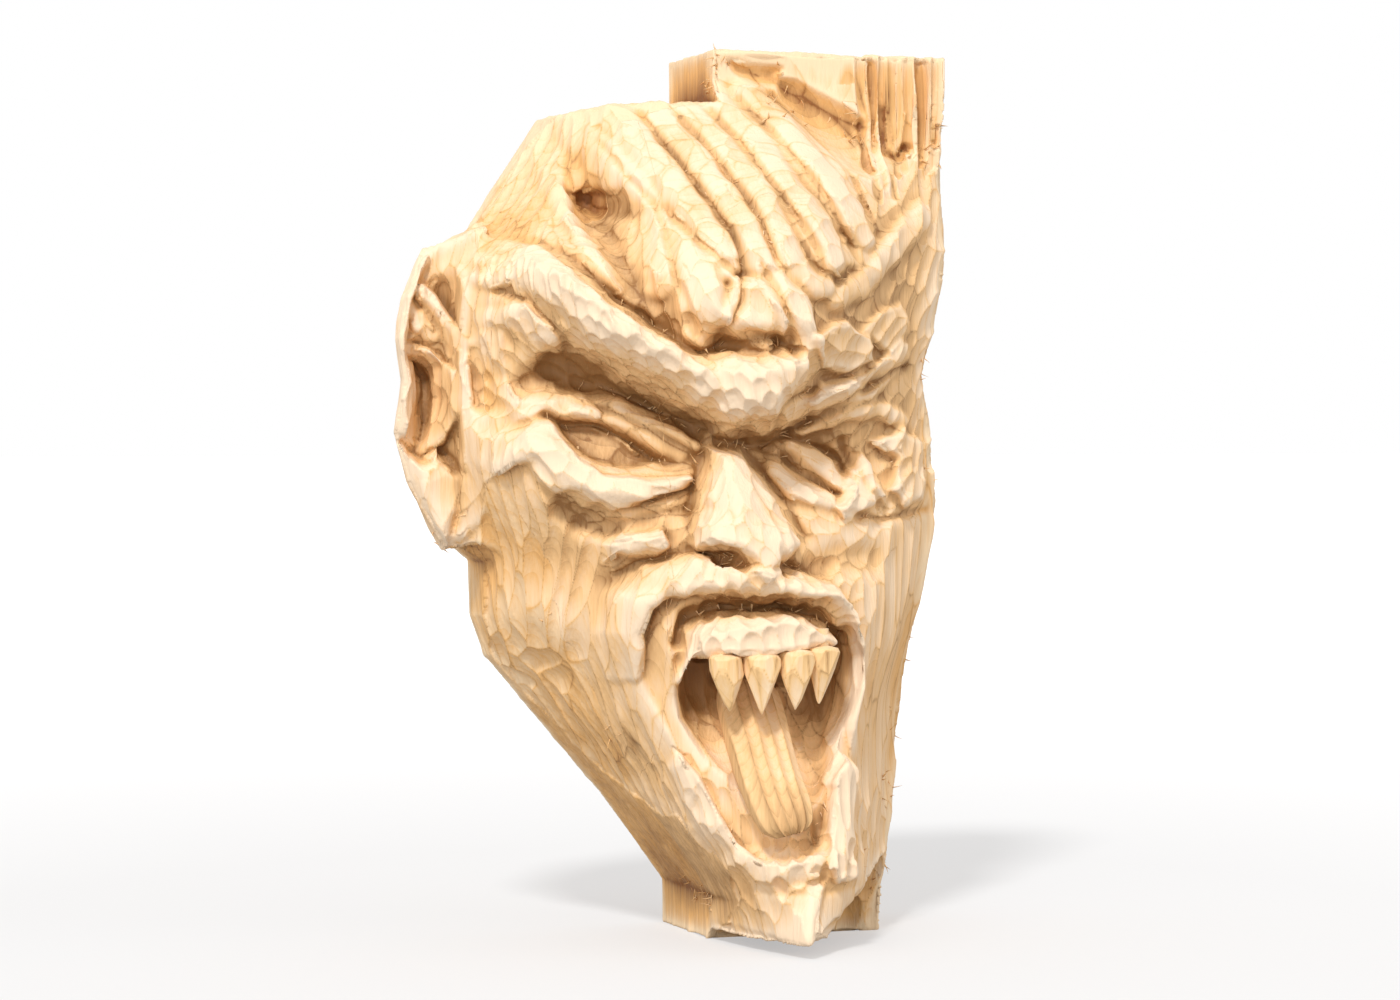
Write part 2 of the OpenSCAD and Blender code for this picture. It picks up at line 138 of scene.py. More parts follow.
# Modelled forms. Paths: x, z, half width, height. Slabs: edge width, height, outline
FORMS = [
    # forehead folds
    ("fold", [(-31, 345, 11.2, 4), (-24, 332, 11.2, 7), (-18, 317, 11.2, 8), (-11, 300, 11.2, 8),
     (-6, 284, 10.5, 8), (-4, 279, 7.5, 6)]),
    ("fold", [(-18, 301, 7.5, 5), (-17, 285, 10.5, 8), (-15, 269, 11.2, 9), (-14, 254, 9.8, 9)]),
    ("fold", [(-14, 347, 9.8, 4), (-5, 330, 9.8, 6), (1, 311, 9.8, 7), (6, 296, 9.8, 7), (11, 282,
     9.1, 6)]),
    ("fold", [(0, 347, 9.8, 4), (8, 333, 9.8, 6), (14, 315, 9.8, 7), (19, 300, 9.8, 7), (23, 284,
     9.1, 6)]),
    ("fold", [(14, 276, 7.5, 4), (21, 265, 9.8, 7), (26, 253, 9.8, 8), (31, 241, 9.8, 7)]),
    ("fold", [(13, 349, 9.8, 4), (23, 335, 10.5, 6), (28, 317, 10.5, 7), (35, 301, 10.5, 7), (45,
     284, 9.8, 7)]),
    ("fold", [(27, 352, 9.8, 4), (37, 340, 10.5, 6), (44, 325, 10.5, 7), (52, 312, 9.8, 7), (58,
     302, 9.8, 7), (65, 292, 7.5, 6)]),
    ("fold", [(26, 278, 7.5, 5), (34, 272, 7.5, 6), (41, 271, 6.2, 5)]),
    ("fold", [(52, 285, 6.2, 4), (65, 284, 6.2, 4)]),
    ("fold", [(57, 293, 5, 3), (64, 290, 5, 4)]),
    ("fold", [(-49, 347, 7.5, 3), (-43, 337, 7.5, 4), (-35, 328, 9.8, 6), (-29, 313, 10.5, 8),
     (-27, 300, 10.5, 9), (-27, 283, 9.8, 8), (-27, 272, 7.5, 6)]),
    ("fold", [(-53, 345, 5, 2), (-52, 330, 5, 4), (-54, 314, 5, 4), (-52, 300, 5, 4), (-49, 284,
     5, 3), (-43, 272, 5, 2)]),
    ("crease", [(-38, 333, 1.5, 1.9), (-30, 315, 1.5, 3.3), (-24, 305, 1.5, 3.7), (-23, 294, 1.5, 3.7),
     (-24, 283, 1.5, 3.7), (-22, 271, 1.5, 3.7), (-19, 259, 1.5, 3.7), (-16, 251, 2, 3)]),
    ("crease", [(-20, 345, 1.5, 2.3), (-13, 328, 1.5, 3.3), (-6, 311, 1.5, 3.7), (1, 294, 1.5, 3.7),
     (2, 280, 1.5, 2.8)]),
    ("crease", [(-7, 347, 1.5, 2.3), (2, 331, 1.5, 3.3), (8, 313, 1.5, 3.7), (14, 298, 1.5, 3.7), (17, 282, 1.5, 2.8)]),
    ("crease", [(7, 349, 1.5, 2.3), (17, 333, 1.5, 3.3), (22, 316, 1.5, 3.7), (29, 302, 1.5, 3.7),
     (37, 286, 1.5, 3.7), (39, 279, 1.5, 1.9)]),
    ("crease", [(22, 352, 1.5, 2.3), (32, 338, 1.5, 3.3), (39, 323, 1.5, 3.7), (47, 308, 1.5, 3.7),
     (56, 291, 1.5, 3.7), (60, 283, 1.5, 1.9)]),
    ("crease", [(-21, 304, 1.5, 2.8), (-13, 290, 1.5, 3.7), (-6, 281, 1.5, 3.7), (0, 275, 1.5, 2.8)]),
    ("crease", [(2, 276, 1.5, 3.7), (0, 265, 1.5, 3.7), (-7, 250, 1.5, 2.8)]),
    ("crease", [(10, 280, 1.5, 2.8), (15, 269, 1.5, 3.3), (20, 257, 1.5, 3.3), (24, 243, 1.5, 1.9)]),
    ("crease", [(38, 355, 1.5, 2.3), (49, 343, 1.5, 2.8), (60, 330, 1.5, 3.3), (67, 319, 1.5, 3.3),
     (70, 307, 1.5, 3.3), (76, 294, 1.5, 1.9)]),
    # hollow
    ("pit", [(-48, 330, 9, 3), (-45, 318, 10, 6), (-40, 304, 12, 15), (-38, 292, 12, 14), (-36,
     276, 10, 9), (-28, 259, 9, 6)]),
    ("pit", [(-43, 307, 4, 6), (-38, 307, 4.5, 9), (-33, 303, 4, 6)]),
    ("crease", [(-49, 311, 2, 2), (-39, 311, 2, 6), (-34, 310, 2, 7), (-31, 305, 2, 4), (-30, 296,
     2, 3)]),
    ("pit", [(-18, 255, 6, 6), (-6, 247, 6, 10), (8, 246, 7, 11), (21, 247, 6, 7)]),
    ("slab", 3, 5, [(-2, 275), (8, 275), (16, 265), (20, 251), (13, 245), (-1, 247), (-9, 257),
     (-5, 269)]),
    # brow band
    ("fold", [(-84, 276, 6, 8), (-79, 281, 9, 13), (-75, 283, 10, 16), (-71, 276, 10, 18), (-64,
     266, 10, 18), (-54, 255, 11, 19), (-43, 246, 12, 19), (-29, 238, 12, 18), (-16, 231, 12,
     14)]),
    ("crease", [(-79, 286, 3, 6), (-67, 292, 3, 6), (-60, 286, 3, 6), (-49, 271, 3, 7), (-30, 256,
     3, 7), (-12, 243, 3, 7)]),
    ("crease", [(-83, 271, 2.5, 5), (-74, 265, 2.5, 7), (-59, 246, 2.5, 8), (-38, 232, 3, 8),
     (-23, 222, 3, 8), (-7, 216, 3, 8), (0, 210, 3, 6)]),
    ("fold", [(-83, 259, 6, 6), (-77, 260, 7, 8), (-69, 254, 7, 8), (-62, 249, 6, 6)]),
    ("fold", [(-20, 235, 12, 8), (-3, 231, 16, 13), (11, 233, 17, 15), (23, 237, 12, 12)]),
    ("dome", [(3, 220, 11, 8), (14, 219, 11, 8)]),
    # right brow
    ("crease", [(2, 209, 4, 9), (23, 207, 4, 9), (41, 217, 4, 10), (64, 229, 4, 10), (93, 241, 4,
     8)]),
    ("fold", [(31, 219, 8, 5), (51, 226, 8, 7), (71, 232, 8, 7), (89, 245, 7, 5)]),
    ("slab", 2.5, 5, [(29, 250), (42, 257), (52, 258), (67, 252), (73, 242), (63, 237), (54, 236),
     (39, 238)]),
    ("slab", 2.5, 3, [(42, 234), (56, 234), (69, 231), (64, 226), (53, 221), (44, 217), (35, 225)]),
    ("slab", 3, 3, [(60, 254), (72, 263), (89, 268), (94, 255), (81, 244), (75, 246)]),
    ("fold", [(45, 266, 6, 3), (61, 273, 7, 5), (77, 286, 8, 6), (103, 304, 8, 4)]),
    # left eye
    ("pit", [(-70, 234, 7, 8), (-60, 239, 9, 17), (-49, 235, 9, 15)]),
    ("pit", [(-38, 230, 6, 6), (-23, 222, 6, 7), (-9, 214, 6, 9)]),
    ("slab", 3, 3, [(-78, 227), (-50, 229), (-45, 221), (-45, 214), (-59, 216), (-67, 219), (-78,
     215), (-80, 221)]),
    ("fold", [(-50, 227, 3, 2), (-38, 223, 4.5, 4), (-25, 216, 4.5, 4), (-9, 207, 3.5, 3)]),
    ("fold", [(-56, 222, 3, 2), (-41, 217, 4, 3.5), (-29, 210, 4, 3.5), (-15, 203, 3.5, 2)]),
    ("crease", [(-66, 219, 1.4, 3), (-59, 216, 1.4, 6), (-46, 215, 1.4, 9), (-37, 211, 1.4, 10),
     (-29, 205, 1.4, 10), (-23, 201, 1.4, 7), (-18, 200, 1.4, 2)]),
    ("slab", 1.5, -4.5, [(-61, 216), (-48, 214), (-39, 211), (-32, 205), (-22, 201), (-30, 198),
     (-39, 197), (-48, 200), (-55, 205), (-59, 211)]),
    ("fold", [(-64, 212, 4, 1), (-58, 202, 5, 3), (-48, 195, 5, 3), (-29, 194, 5, 2.5), (-12, 196,
     4, 2)]),
    # cheekbone
    ("slab", 2, 5.5, [(-86, 190), (-85, 200), (-82, 206), (-77, 212), (-70, 217), (-64, 217),
     (-61, 212), (-55, 203), (-47, 196), (-29, 194), (-12, 195), (-11, 191), (-25, 186), (-35,
     182), (-43, 179), (-48, 182), (-52, 182), (-57, 187), (-60, 188), (-64, 186), (-68, 189),
     (-71, 192), (-74, 199), (-78, 199)]),
    ("fold", [(-83, 200, 6, 3), (-78, 207, 8, 4), (-70, 207, 8, 4), (-61, 197, 8, 4), (-49, 189,
     7, 4), (-35, 189, 7, 3)]),
    ("pit", [(-59, 181, 6, 5), (-51, 177, 7, 8), (-45, 174, 6, 6)]),
    ("crease", [(-44, 180, 2, 2), (-30, 184, 2, 2.5), (-8, 190, 2, 2)]),
    ("crease", [(-40, 175, 2, 2), (-26, 179, 2, 2.5), (-8, 182, 2, 2)]),
    ("fold", [(-83, 266, 3, 2), (-84, 246, 4, 4), (-82, 232, 4, 4), (-78, 225, 3, 3)]),
    ("pit", [(-87, 245, 4, 5), (-85, 235, 4.5, 12), (-85, 224, 4, 7)]),
    ("crease", [(-86, 280, 2, 4), (-89, 267, 2.5, 5), (-90, 252, 2.5, 4)]),
    # nose
    ("slab", 8, 11, [(-6, 208), (11, 206), (21, 190), (33, 166), (26, 160), (17, 153), (12, 149),
     (5, 154), (-1, 160), (-15, 166), (-14, 176), (-10, 193)]),
    ("fold", [(1, 206, 9, 3), (0, 193, 10, 4), (2, 180, 13, 5), (4, 169, 16, 6), (7, 160, 13, 6)]),
    ("dome", [(-10, 170, 8, 5)]),
    ("dome", [(21, 167, 8, 4)]),
    ("pit", [(-7, 164, 3, 8), (-1, 162, 3.5, 11), (4, 159, 3, 8)]),
    ("pit", [(23, 155, 3, 5), (27, 157, 3, 4)]),
    ("crease", [(-14, 165, 2, 3), (-14, 177, 2.5, 3), (-9, 193, 2.5, 4), (-5, 204, 2.5, 4)]),
    ("crease", [(15, 205, 2.5, 3), (26, 189, 2.5, 3), (36, 170, 2.5, 4)]),
    ("slab", 4, 9, [(-46, 167), (-42, 171), (-33, 173), (-25, 174), (-21, 166), (-26, 162), (-39,
     161), (-44, 158)]),
    ("pit", [(-40, 152, 7, 3), (-26, 153, 9, 6), (-12, 156, 7, 5)]),
    ("pit", [(34, 154, 6, 4), (53, 160, 7, 5), (70, 159, 7, 4)]),
    # lips
    ("fold", [(-35, 114, 6, 6), (-38, 131, 8, 11), (-35, 144, 9, 13), (-27, 151.5, 9, 14), (-14,
     154.5, 9, 15), (-2, 154, 9, 15), (10, 150, 9, 14), (26, 149, 9, 14), (42, 145, 8, 14), (53, 136,
     6, 12), (58, 123, 5, 10), (60, 106, 5, 9), (59, 90, 5, 6), (61, 76, 4, 1)]),
    ("pit", [(-17, 128, 4, 5), (-13, 137, 4.5, 8), (0, 142, 4.5, 8), (20, 142, 4.5, 8), (40, 141,
     4.5, 8), (51, 135, 4, 6)]),
    # lower lip, chin
    ("slab", 2, 5, [(-17, 83), (-20, 75), (-18.5, 66), (-12, 53), (-4, 34), (3, 18), (10, 8), (27,
     4), (44, 12), (65, 24), (64, 60), (61, 74), (51, 82), (38, 81), (42, 67), (39, 51), (34, 43),
     (21, 40), (10, 40), (4, 46), (-4, 62), (-9, 73)]),
    ("slab", 3, 5, [(39, 79), (50, 81), (56, 74), (57, 62), (55, 42), (56, 29), (42, 29), (37,
     36), (40, 51), (43, 67)]),
    ("slab", 2, 3, [(-17, 82), (-14, 75), (-10, 65), (-11, 57), (-14, 60), (-17, 66), (-19, 75)]),
    ("fold", [(6, 37, 7, 3), (14, 37, 8, 4), (24, 38, 8, 4), (39, 38, 7, 3)]),
    ("fold", [(33, 27, 5, 3), (28, 17, 5, 4), (26, 7, 4, 3)]),
    ("crease", [(11, 25, 1.5, 1), (23, 26, 1.5, 1.2), (59, 26, 1.5, 1)]),
    ("fold", [(-37, 119, 5, 3), (-30, 103, 5, 3), (-23, 89, 5, 3), (-19, 80, 5, 2)]),
    ("pit", [(-65, 121, 12, 5), (-56, 115, 13, 7), (-47, 105, 12, 5)]),
    ("slab", 9, -7, [(39, 362), (50, 361), (62, 355), (74, 349), (82, 344), (82, 322), (76, 318),
     (68, 320), (58, 330), (48, 342), (42, 352)]),
    ("slab", 5, -4, [(17, 369), (32, 367), (45, 366), (41, 357), (31, 358), (22, 363)]),
    ("crease", [(84, 368, 1.6, 3), (85, 349, 1.6, 3), (83, 332, 1.6, 3)]),
    ("crease", [(90, 349, 2, 3), (89, 332, 2, 4), (94, 328, 2, 4), (100, 333, 2, 4)]),
    # right eye and cheek
    ("fold", [(36, 207, 5, 4), (43, 203, 6, 6), (51, 197, 6, 6), (58, 189, 5, 4)]),
    ("crease", [(34, 211, 2, 4), (48, 207, 2, 6), (59, 201, 2, 6), (64, 192, 2, 4)]),
    ("crease", [(32, 202, 2, 3), (39, 195, 2, 4), (50, 188, 2, 4), (61, 187, 2, 3)]),
    ("fold", [(26, 197, 5, 3), (34, 188, 5, 4), (48, 184, 5, 3)]),
    ("fold", [(39, 212, 4, 3), (55, 219, 5, 4), (76, 222, 5, 4), (92, 217, 5, 3)]),
    ("slab", 4, 6, [(61, 197), (68, 204), (73, 200), (81, 184), (67, 178), (55, 175), (50, 181)]),
    ("slab", 4, 5, [(71, 209), (91, 215), (107, 209), (109, 196), (107, 183), (92, 179), (82,
     188), (87, 200)]),
    ("crease", [(60, 209, 2, 3), (64, 199, 2, 3), (70, 188, 2, 3), (81, 180, 2, 3)]),
    ("crease", [(57, 179, 2, 3), (78, 176, 2, 4), (110, 179, 2, 3)]),
]

EAR_FORMS = [
    ("fold", [(-104, 283, 4, 4), (-110, 273, 4.5, 6), (-114, 259, 4.5, 7), (-114, 246, 4, 7),
     (-112, 232, 4, 7), (-112, 222, 4, 6), (-113, 212, 4, 4)]),
    ("pit", [(-106, 246, 4, 6), (-101, 238, 5, 12), (-100, 230, 5, 9), (-102, 217, 5, 6), (-104,
     206, 4, 3)]),
    ("fold", [(-112, 248, 3, 3), (-102, 244, 4, 7), (-96, 236, 4.5, 9), (-94, 227, 4.5, 9), (-97,
     214, 4.5, 7), (-102, 203, 4, 4)]),
    ("fold", [(-108, 274, 3, 3), (-101, 267, 4, 6), (-95, 256, 4, 7), (-90, 246, 4, 7), (-86, 232,
     4.5, 7), (-84, 222, 4, 5)]),
    ("pit", [(-95, 272, 5, 4), (-88, 257, 5, 6), (-85, 249, 4, 5)]),
    ("pit", [(-78, 244, 4, 7), (-76, 234, 4.5, 13), (-75, 225, 4, 8)]),
    ("fold", [(-110, 265, 4, 3), (-105, 257, 4, 3)]),
    ("fold", [(-104, 260, 4, 3), (-100, 253, 4, 3)]),
    ("crease", [(-116, 212, 1.8, 3), (-104, 202, 1.8, 4), (-97, 207, 1.8, 3), (-90, 198, 1.8, 4),
     (-79, 191, 1.8, 3)]),
    ("slab", 5, 5, [(-117, 211), (-105, 201), (-98, 206), (-91, 197), (-80, 191), (-78, 184),
     (-87, 167), (-95, 163), (-102, 172), (-112, 192)]),
    ("fold", [(-104, 200, 6, 3), (-100, 193, 8, 5), (-99, 180, 8, 5), (-99, 170, 6, 4)]),
]

# Hollows that reach under an edge: centre x, f, z and the three half sizes
CAVES = [
    ((21, 92, 112), (25, 13, 9)),
    ((-3, 112, 161), (5.5, 8, 3.6)),
]
HOLLOW = ((8, 0, 186), (62, 58, 112))


def spline(xs, values, at):
    """Catmull-Rom through rows of values at the heights xs."""
    i = np.clip(np.searchsorted(xs, at, side="right") - 1, 0, len(xs) - 2)
    step = (xs[i + 1] - xs[i])[:, None]
    t = ((at - xs[i]) / (xs[i + 1] - xs[i]))[:, None]
    slope = np.zeros_like(values)
    slope[1:-1] = (values[2:] - values[:-2]) / (xs[2:] - xs[:-2])[:, None]
    t2, t3 = t * t, t * t * t
    return (
        (2 * t3 - 3 * t2 + 1) * values[i] + (t3 - 2 * t2 + t) * step * slope[i]
        + (3 * t2 - 2 * t3) * values[i + 1] + (t3 - t2) * step * slope[i + 1]
    )


def plain_depth(xs, zs):
    """The face before its features, on a grid (z rows, x columns)."""
    heights = np.array(sorted(SECTIONS), float)
    share = np.linspace(0, 1, 120)
    rows, ends = [], []
    for z in heights:
        s = np.array(SECTIONS[int(z)], float)
        u = np.maximum.accumulate((s[:, 0] - s[0, 0]) / (s[-1, 0] - s[0, 0]))
        rows.append(np.interp(share, u + np.arange(len(u)) * 1e-7, s[:, 1]))
        ends.append((s[0, 0], s[-1, 0]))
    row = spline(heights, np.array(rows), zs)
    end = spline(heights, np.array(ends), zs)
    out = np.empty((len(zs), len(xs)))
    for k in range(len(zs)):
        u = (xs - end[k, 0]) / (end[k, 1] - end[k, 0])
        out[k] = np.interp(u, share, row[k])
    return out


def blurred(a, sigma):
    reach = int(3 * sigma) + 1
    g = np.exp(-np.arange(-reach, reach + 1) ** 2 / (2 * sigma * sigma))
    g /= g.sum()
    for axis in (0, 1):
        pad = [(0, 0), (0, 0)]
        pad[axis] = (reach, reach)
        p = np.pad(a, pad, "edge")
        n = a.shape[axis]
        a = sum(w * np.take(p, range(i, i + n), axis) for i, w in enumerate(g))
    return a


def path_distance(path, X, Z):
    best = np.full(X.shape, 1e9)
    for (x0, z0), (x1, z1) in zip(path[:-1], path[1:]):
        dx, dz = x1 - x0, z1 - z0
        t = np.clip(((X - x0) * dx + (Z - z0) * dz) / (dx * dx + dz * dz), 0, 1)
        best = np.minimum(best, (X - x0 - t * dx) ** 2 + (Z - z0 - t * dz) ** 2)
    return np.sqrt(best)


def sweep(path, X, Z):
    """Distance to a path over its width there, and its height there."""
    best = np.full(X.shape, 1e9)
    high = np.zeros(X.shape)
    for (x0, z0, w0, h0), (x1, z1, w1, h1) in zip(path[:-1], path[1:]):
        dx, dz = x1 - x0, z1 - z0
        t = np.clip(((X - x0) * dx + (Z - z0) * dz) / max(dx * dx + dz * dz, 1e-6), 0, 1)
        d = np.hypot(X - x0 - t * dx, Z - z0 - t * dz) / (w0 + t * (w1 - w0))
        high = np.where(d < best, h0 + t * (h1 - h0), high)
        best = np.minimum(best, d)
    return best, high


def window(X, Z, points, reach):
    """The part of the grid round some points."""
    xs = [p[0] for p in points]
    zs = [p[1] for p in points]
    cols = np.where((X[0] > min(xs) - reach) & (X[0] < max(xs) + reach))[0]
    rows = np.where((Z[:, 0] > min(zs) - reach) & (Z[:, 0] < max(zs) + reach))[0]
    if not len(cols) or not len(rows):
        return None
    return np.s_[rows[0]:rows[-1] + 1, cols[0]:cols[-1] + 1]


def add_forms(h, X, Z, forms):
    """Folds join at a crease where they meet; slabs, domes, pits and creases add up."""
    fold = np.zeros(X.shape)
    for form in forms:
        kind = form[0]
        if kind == "slab":
            _, width, height, polygon = form
            at = window(X, Z, polygon, 3)
            if at is not None:
                t = np.clip(outline_distance(polygon, X[at], Z[at]) / width, 0, 1)
                h[at] += height * t * (2 - t)
            continue
        path = form[1] if len(form[1]) > 1 else form[1] * 2
        reach = max(p[2] for p in path) * (4 if kind == "crease" else 2.5)
        at = window(X, Z, path, reach)
        if at is None:
            continue
        d, high = sweep(path, X[at], Z[at])
        if kind == "fold":
            fold[at] = np.maximum(fold[at], high * np.clip(1 - d ** 2.6, 0, None))
        elif kind == "dome":
            h[at] += high * np.exp(-d * d * 1.4)
        elif kind == "pit":
            h[at] -= high * np.exp(-d ** 2.4 * 1.2)
        else:
            h[at] -= high * np.exp(-d * 1.3)
    return h + fold


def inside(polygon, X, Z):
    hit = np.zeros(X.shape, bool)
    for (x0, z0), (x1, z1) in zip(polygon, polygon[1:] + polygon[:1]):
        if z0 != z1:
            hit ^= ((z0 > Z) != (z1 > Z)) & (X < (x1 - x0) * (Z - z0) / (z1 - z0) + x0)
    return hit


def outline_distance(polygon, X, Z):
    """Signed distance to an outline, above 0 inside."""
    d = path_distance(polygon + polygon[:1], X, Z)
    return np.where(inside(polygon, X, Z), d, -d)


def lattice_noise(p, size, seed):
    """Smooth value noise in three dimensions, -1 to 1."""
    q = p / size
    i = np.floor(q).astype(np.int64)
    t = q - i
    t = t * t * (3 - 2 * t)
    total = np.zeros(len(p))
    for cx in (0, 1):
        for cy in (0, 1):
            for cz in (0, 1):
                n = (i[:, 0] + cx) * 73856093 ^ (i[:, 1] + cy) * 19349663
                n = (n ^ (i[:, 2] + cz) * 83492791 ^ seed * 2654435761) & 0x7FFFFFFF
                n = (n * 1103515245 + 12345) & 0x7FFFFFFF
                n = ((n >> 8) * 22695477 + 1) & 0x7FFFFFFF
                value = (n >> 7) % 4096 / 2047.5 - 1
                w = (t[:, 0] if cx else 1 - t[:, 0]) * (t[:, 1] if cy else 1 - t[:, 1])
                total += value * w * (t[:, 2] if cz else 1 - t[:, 2])
    return total


def smooth_min(a, b, k):
    t = np.clip(0.5 + 0.5 * (b - a) / k, 0, 1)
    return b * (1 - t) + a * t - k * t * (1 - t)


def ellipsoid(centre, half, X, F, Z):
    """Rough signed distance, below 0 inside."""
    q = [(a - c) / h for a, c, h in zip((X, F, Z), centre, half)]
    r = np.sqrt(q[0] ** 2 + q[1] ** 2 + q[2] ** 2)
    return (r - 1) * min(half)


def rough_strip(h, X, Z):
    """Deep upright gouge grooves on the right of the stub, ended by rounded stops."""
    rng = np.random.default_rng(3)
    for x in np.arange(80, 115, 4.2):
        x = x + rng.uniform(-1, 1)
        low = rng.uniform(318, 338) - (114 - x) * 0.35
        wide = rng.uniform(1.8, 3.0)
        deep = rng.uniform(1.2, 3.2)
        d = np.hypot(X - x, np.clip(low - Z, 0, None)) / wide
        h = h - deep * np.clip(1 - d * d, 0, None)
    return h


# Painted shade in the eye sockets, under the brow, in the mouth and in other hollows and shaded zones: x, z, half
# width, amount
SHADE_PATHS = [
    [(-76, 246, 8, 0.1), (-66, 238, 11, 0.4), (-54, 234, 11, 0.36), (-39, 221, 12, 0.24),
     (-22, 211, 10, 0.26), (-9, 205, 8, 0.3)],
    [(-58, 212, 5, 0.12), (-44, 207, 8, 0.18), (-30, 202, 6, 0.2)],
    [(22, 204, 8, 0.24), (42, 208, 11, 0.24), (64, 214, 14, 0.2), (86, 222, 14, 0.18)],
    [(-8, 118, 8, 0.4), (-5, 105, 10, 0.8), (-2, 92, 8, 0.45)],
    [(8, 114, 10, 0.3), (28, 114, 10, 0.3), (44, 112, 8, 0.36), (42, 96, 8, 0.36), (38, 82, 6, 0.16)],
    [(-6, 160, 6, 0.2), (4, 157, 6, 0.2)],
    [(-14, 90, 6, 0.16), (-19, 104, 8, 0.2), (-24, 120, 7, 0.2), (-20, 137, 6, 0.2),
     (0, 145, 5, 0.24), (20, 145, 5, 0.24), (40, 142, 5, 0.24), (51, 134, 5, 0.2),
     (55, 118, 5, 0.2), (54, 100, 5, 0.2)],
    [(2, 72, 6, 0.14), (8, 57, 7, 0.18), (24, 49, 7, 0.18), (38, 56, 6, 0.18), (43, 72, 5, 0.14)],
    [(-36, 304, 8, 0.22), (-30, 303, 6, 0.22)],
    [(70, 300, 12, 0.14), (92, 296, 16, 0.16), (84, 262, 18, 0.14), (66, 256, 14, 0.1)],
    [(8, 330, 22, 0.08), (24, 300, 26, 0.1)],
]


def painted_shade_of(x, z):
    total = np.zeros(len(x))
    for path in SHADE_PATHS:
        d, amount = sweep(path, x, z)
        total = np.maximum(total, amount * np.exp(-d * d))
    return total


def sculpt_volume():
    """Distance below the carved surface, above 0 in the wood, on a regular grid."""
    xs = np.arange(-120, 126, PITCH)
    fs = np.arange(-4, DEPTH + 6, PITCH)
    zs = np.arange(-6, TOP_Z + 6, PITCH)
    X, Z = np.meshgrid(xs, zs)
    h = blurred(plain_depth(xs, zs), 3.5 / PITCH)
    h = add_forms(h, X, Z, FORMS)
    out = np.clip(-outline_distance(MOUTH, X, Z), 0, 40)
    rate = np.interp(Z, [50, 80, 120, 135], [7, 1.3, 1.2, 3]) * np.where(X < 20, 1, 1.7)
    h = np.minimum(h, np.interp(Z, FLOOR_Z, FLOOR_F) + rate * out)
    t = np.clip(outline_distance(GUM, X, Z) / 5, 0, 1)
    gum = np.interp(X, GUM_X, GUM_F) - 12 * (1 - t) ** 2
    h = np.where(t > 0, np.maximum(h, gum), h)
    h = blurred(h, 0.6 / PITCH)
    rise = np.clip((X + 104) / 20, 0, 1)
    ear = add_forms(22.0 + 14 * rise * rise, X, Z, EAR_FORMS)
    edge = outline_distance(OUTLINE, X, Z)
    ear_edge = outline_distance(EAR_OUTLINE, X, Z)
    h = rough_strip(h, X, Z)
    slope = np.gradient(h, PITCH)
    steep = np.sqrt(1 + np.minimum(slope[0] ** 2 + slope[1] ** 2, 9.0))
    volume = np.empty((len(xs), len(fs), len(zs)), np.float32)
    for k, f in enumerate(fs):
        head = smooth_min((h - f) / steep, edge, 2.5)
        lobe = smooth_min(ear - f, ear_edge - 0.4 * max(0, 20 - f), 3.0)
        d = -smooth_min(-head, -lobe, 9.0)
        d = np.minimum(d, f)
        if f > 56:
            d = np.minimum(d, Z - np.interp(X, JAW_X, JAW_Z) * min(1, (f - 56) / 6))
        for centre, half in CAVES + [HOLLOW]:
            if abs(f - centre[1]) < half[1] + 3:
                d = np.minimum(d, ellipsoid(centre, half, X, f, Z))
        volume[:, k, :] = np.clip(d, -3 * PITCH, 3 * PITCH).T
    return volume, (xs[0], fs[0], zs[0])


def surface_of(volume, origin, pitch):
    """The zero surface as points (x, f, z) and quads turned outwards."""
    grid = openvdb.FloatGrid(-3 * pitch)
    grid.copyFromArray(volume)
    points, quads = grid.convertToQuads(isovalue=0)
    return points.astype(float) * pitch + np.array(origin), quads.astype(np.int64)


def surround(volume, origin, points, reach):
    """How much wood lies round each point, from -1 (none) to 1 (all); 0 on a flat face."""
    step = 2
    solid = (volume[::step, ::step, ::step] > 0).astype(np.float32)
    n = max(1, int(reach / (PITCH * step)))
    for axis in range(3):
        pad = [(0, 0)] * 3
        pad[axis] = (n + 1, n)
        for _ in range(2):
            total = np.cumsum(np.pad(solid, pad, "edge"), axis, dtype=np.float32)
            size = solid.shape[axis]
            upper = np.take(total, range(2 * n + 1, 2 * n + 1 + size), axis)
            solid = (upper - np.take(total, range(size), axis)) / (2 * n + 1)
    q = (points - origin) / (PITCH * step)
    i = np.clip(np.floor(q).astype(int), 0, np.array(solid.shape) - 2)
    t = q - i
    out = np.zeros(len(points))
    for cx in (0, 1):
        for cy in (0, 1):
            for cz in (0, 1):
                w = (t[:, 0] if cx else 1 - t[:, 0]) * (t[:, 1] if cy else 1 - t[:, 1])
                w = w * (t[:, 2] if cz else 1 - t[:, 2])
                out += w * solid[i[:, 0] + cx, i[:, 1] + cy, i[:, 2] + cz]
    return out * 2 - 1


def normals_of(points, quads):
    a = points[quads[:, 2]] - points[quads[:, 0]]
    b = points[quads[:, 3]] - points[quads[:, 1]]
    face = np.cross(a, b)
    out = np.zeros_like(points)
    for c in range(4):
        for axis in range(3):
            out[:, axis] += np.bincount(quads[:, c], face[:, axis], len(points))
    return out / np.maximum(np.linalg.norm(out, axis=1, keepdims=True), 1e-9)


def relaxed(values, quads, rounds):
    n = len(values)
    for _ in range(rounds):
        total = np.zeros_like(values)
        count = np.zeros(n)
        for c in range(4):
            i, j = quads[:, c], quads[:, (c + 1) % 4]
            for axis in range(values.shape[1]):
                total[:, axis] += np.bincount(i, values[j, axis], n)
                total[:, axis] += np.bincount(j, values[i, axis], n)
            count += np.bincount(i, minlength=n) + np.bincount(j, minlength=n)
        values = 0.5 * values + 0.5 * total / count[:, None]
    return values


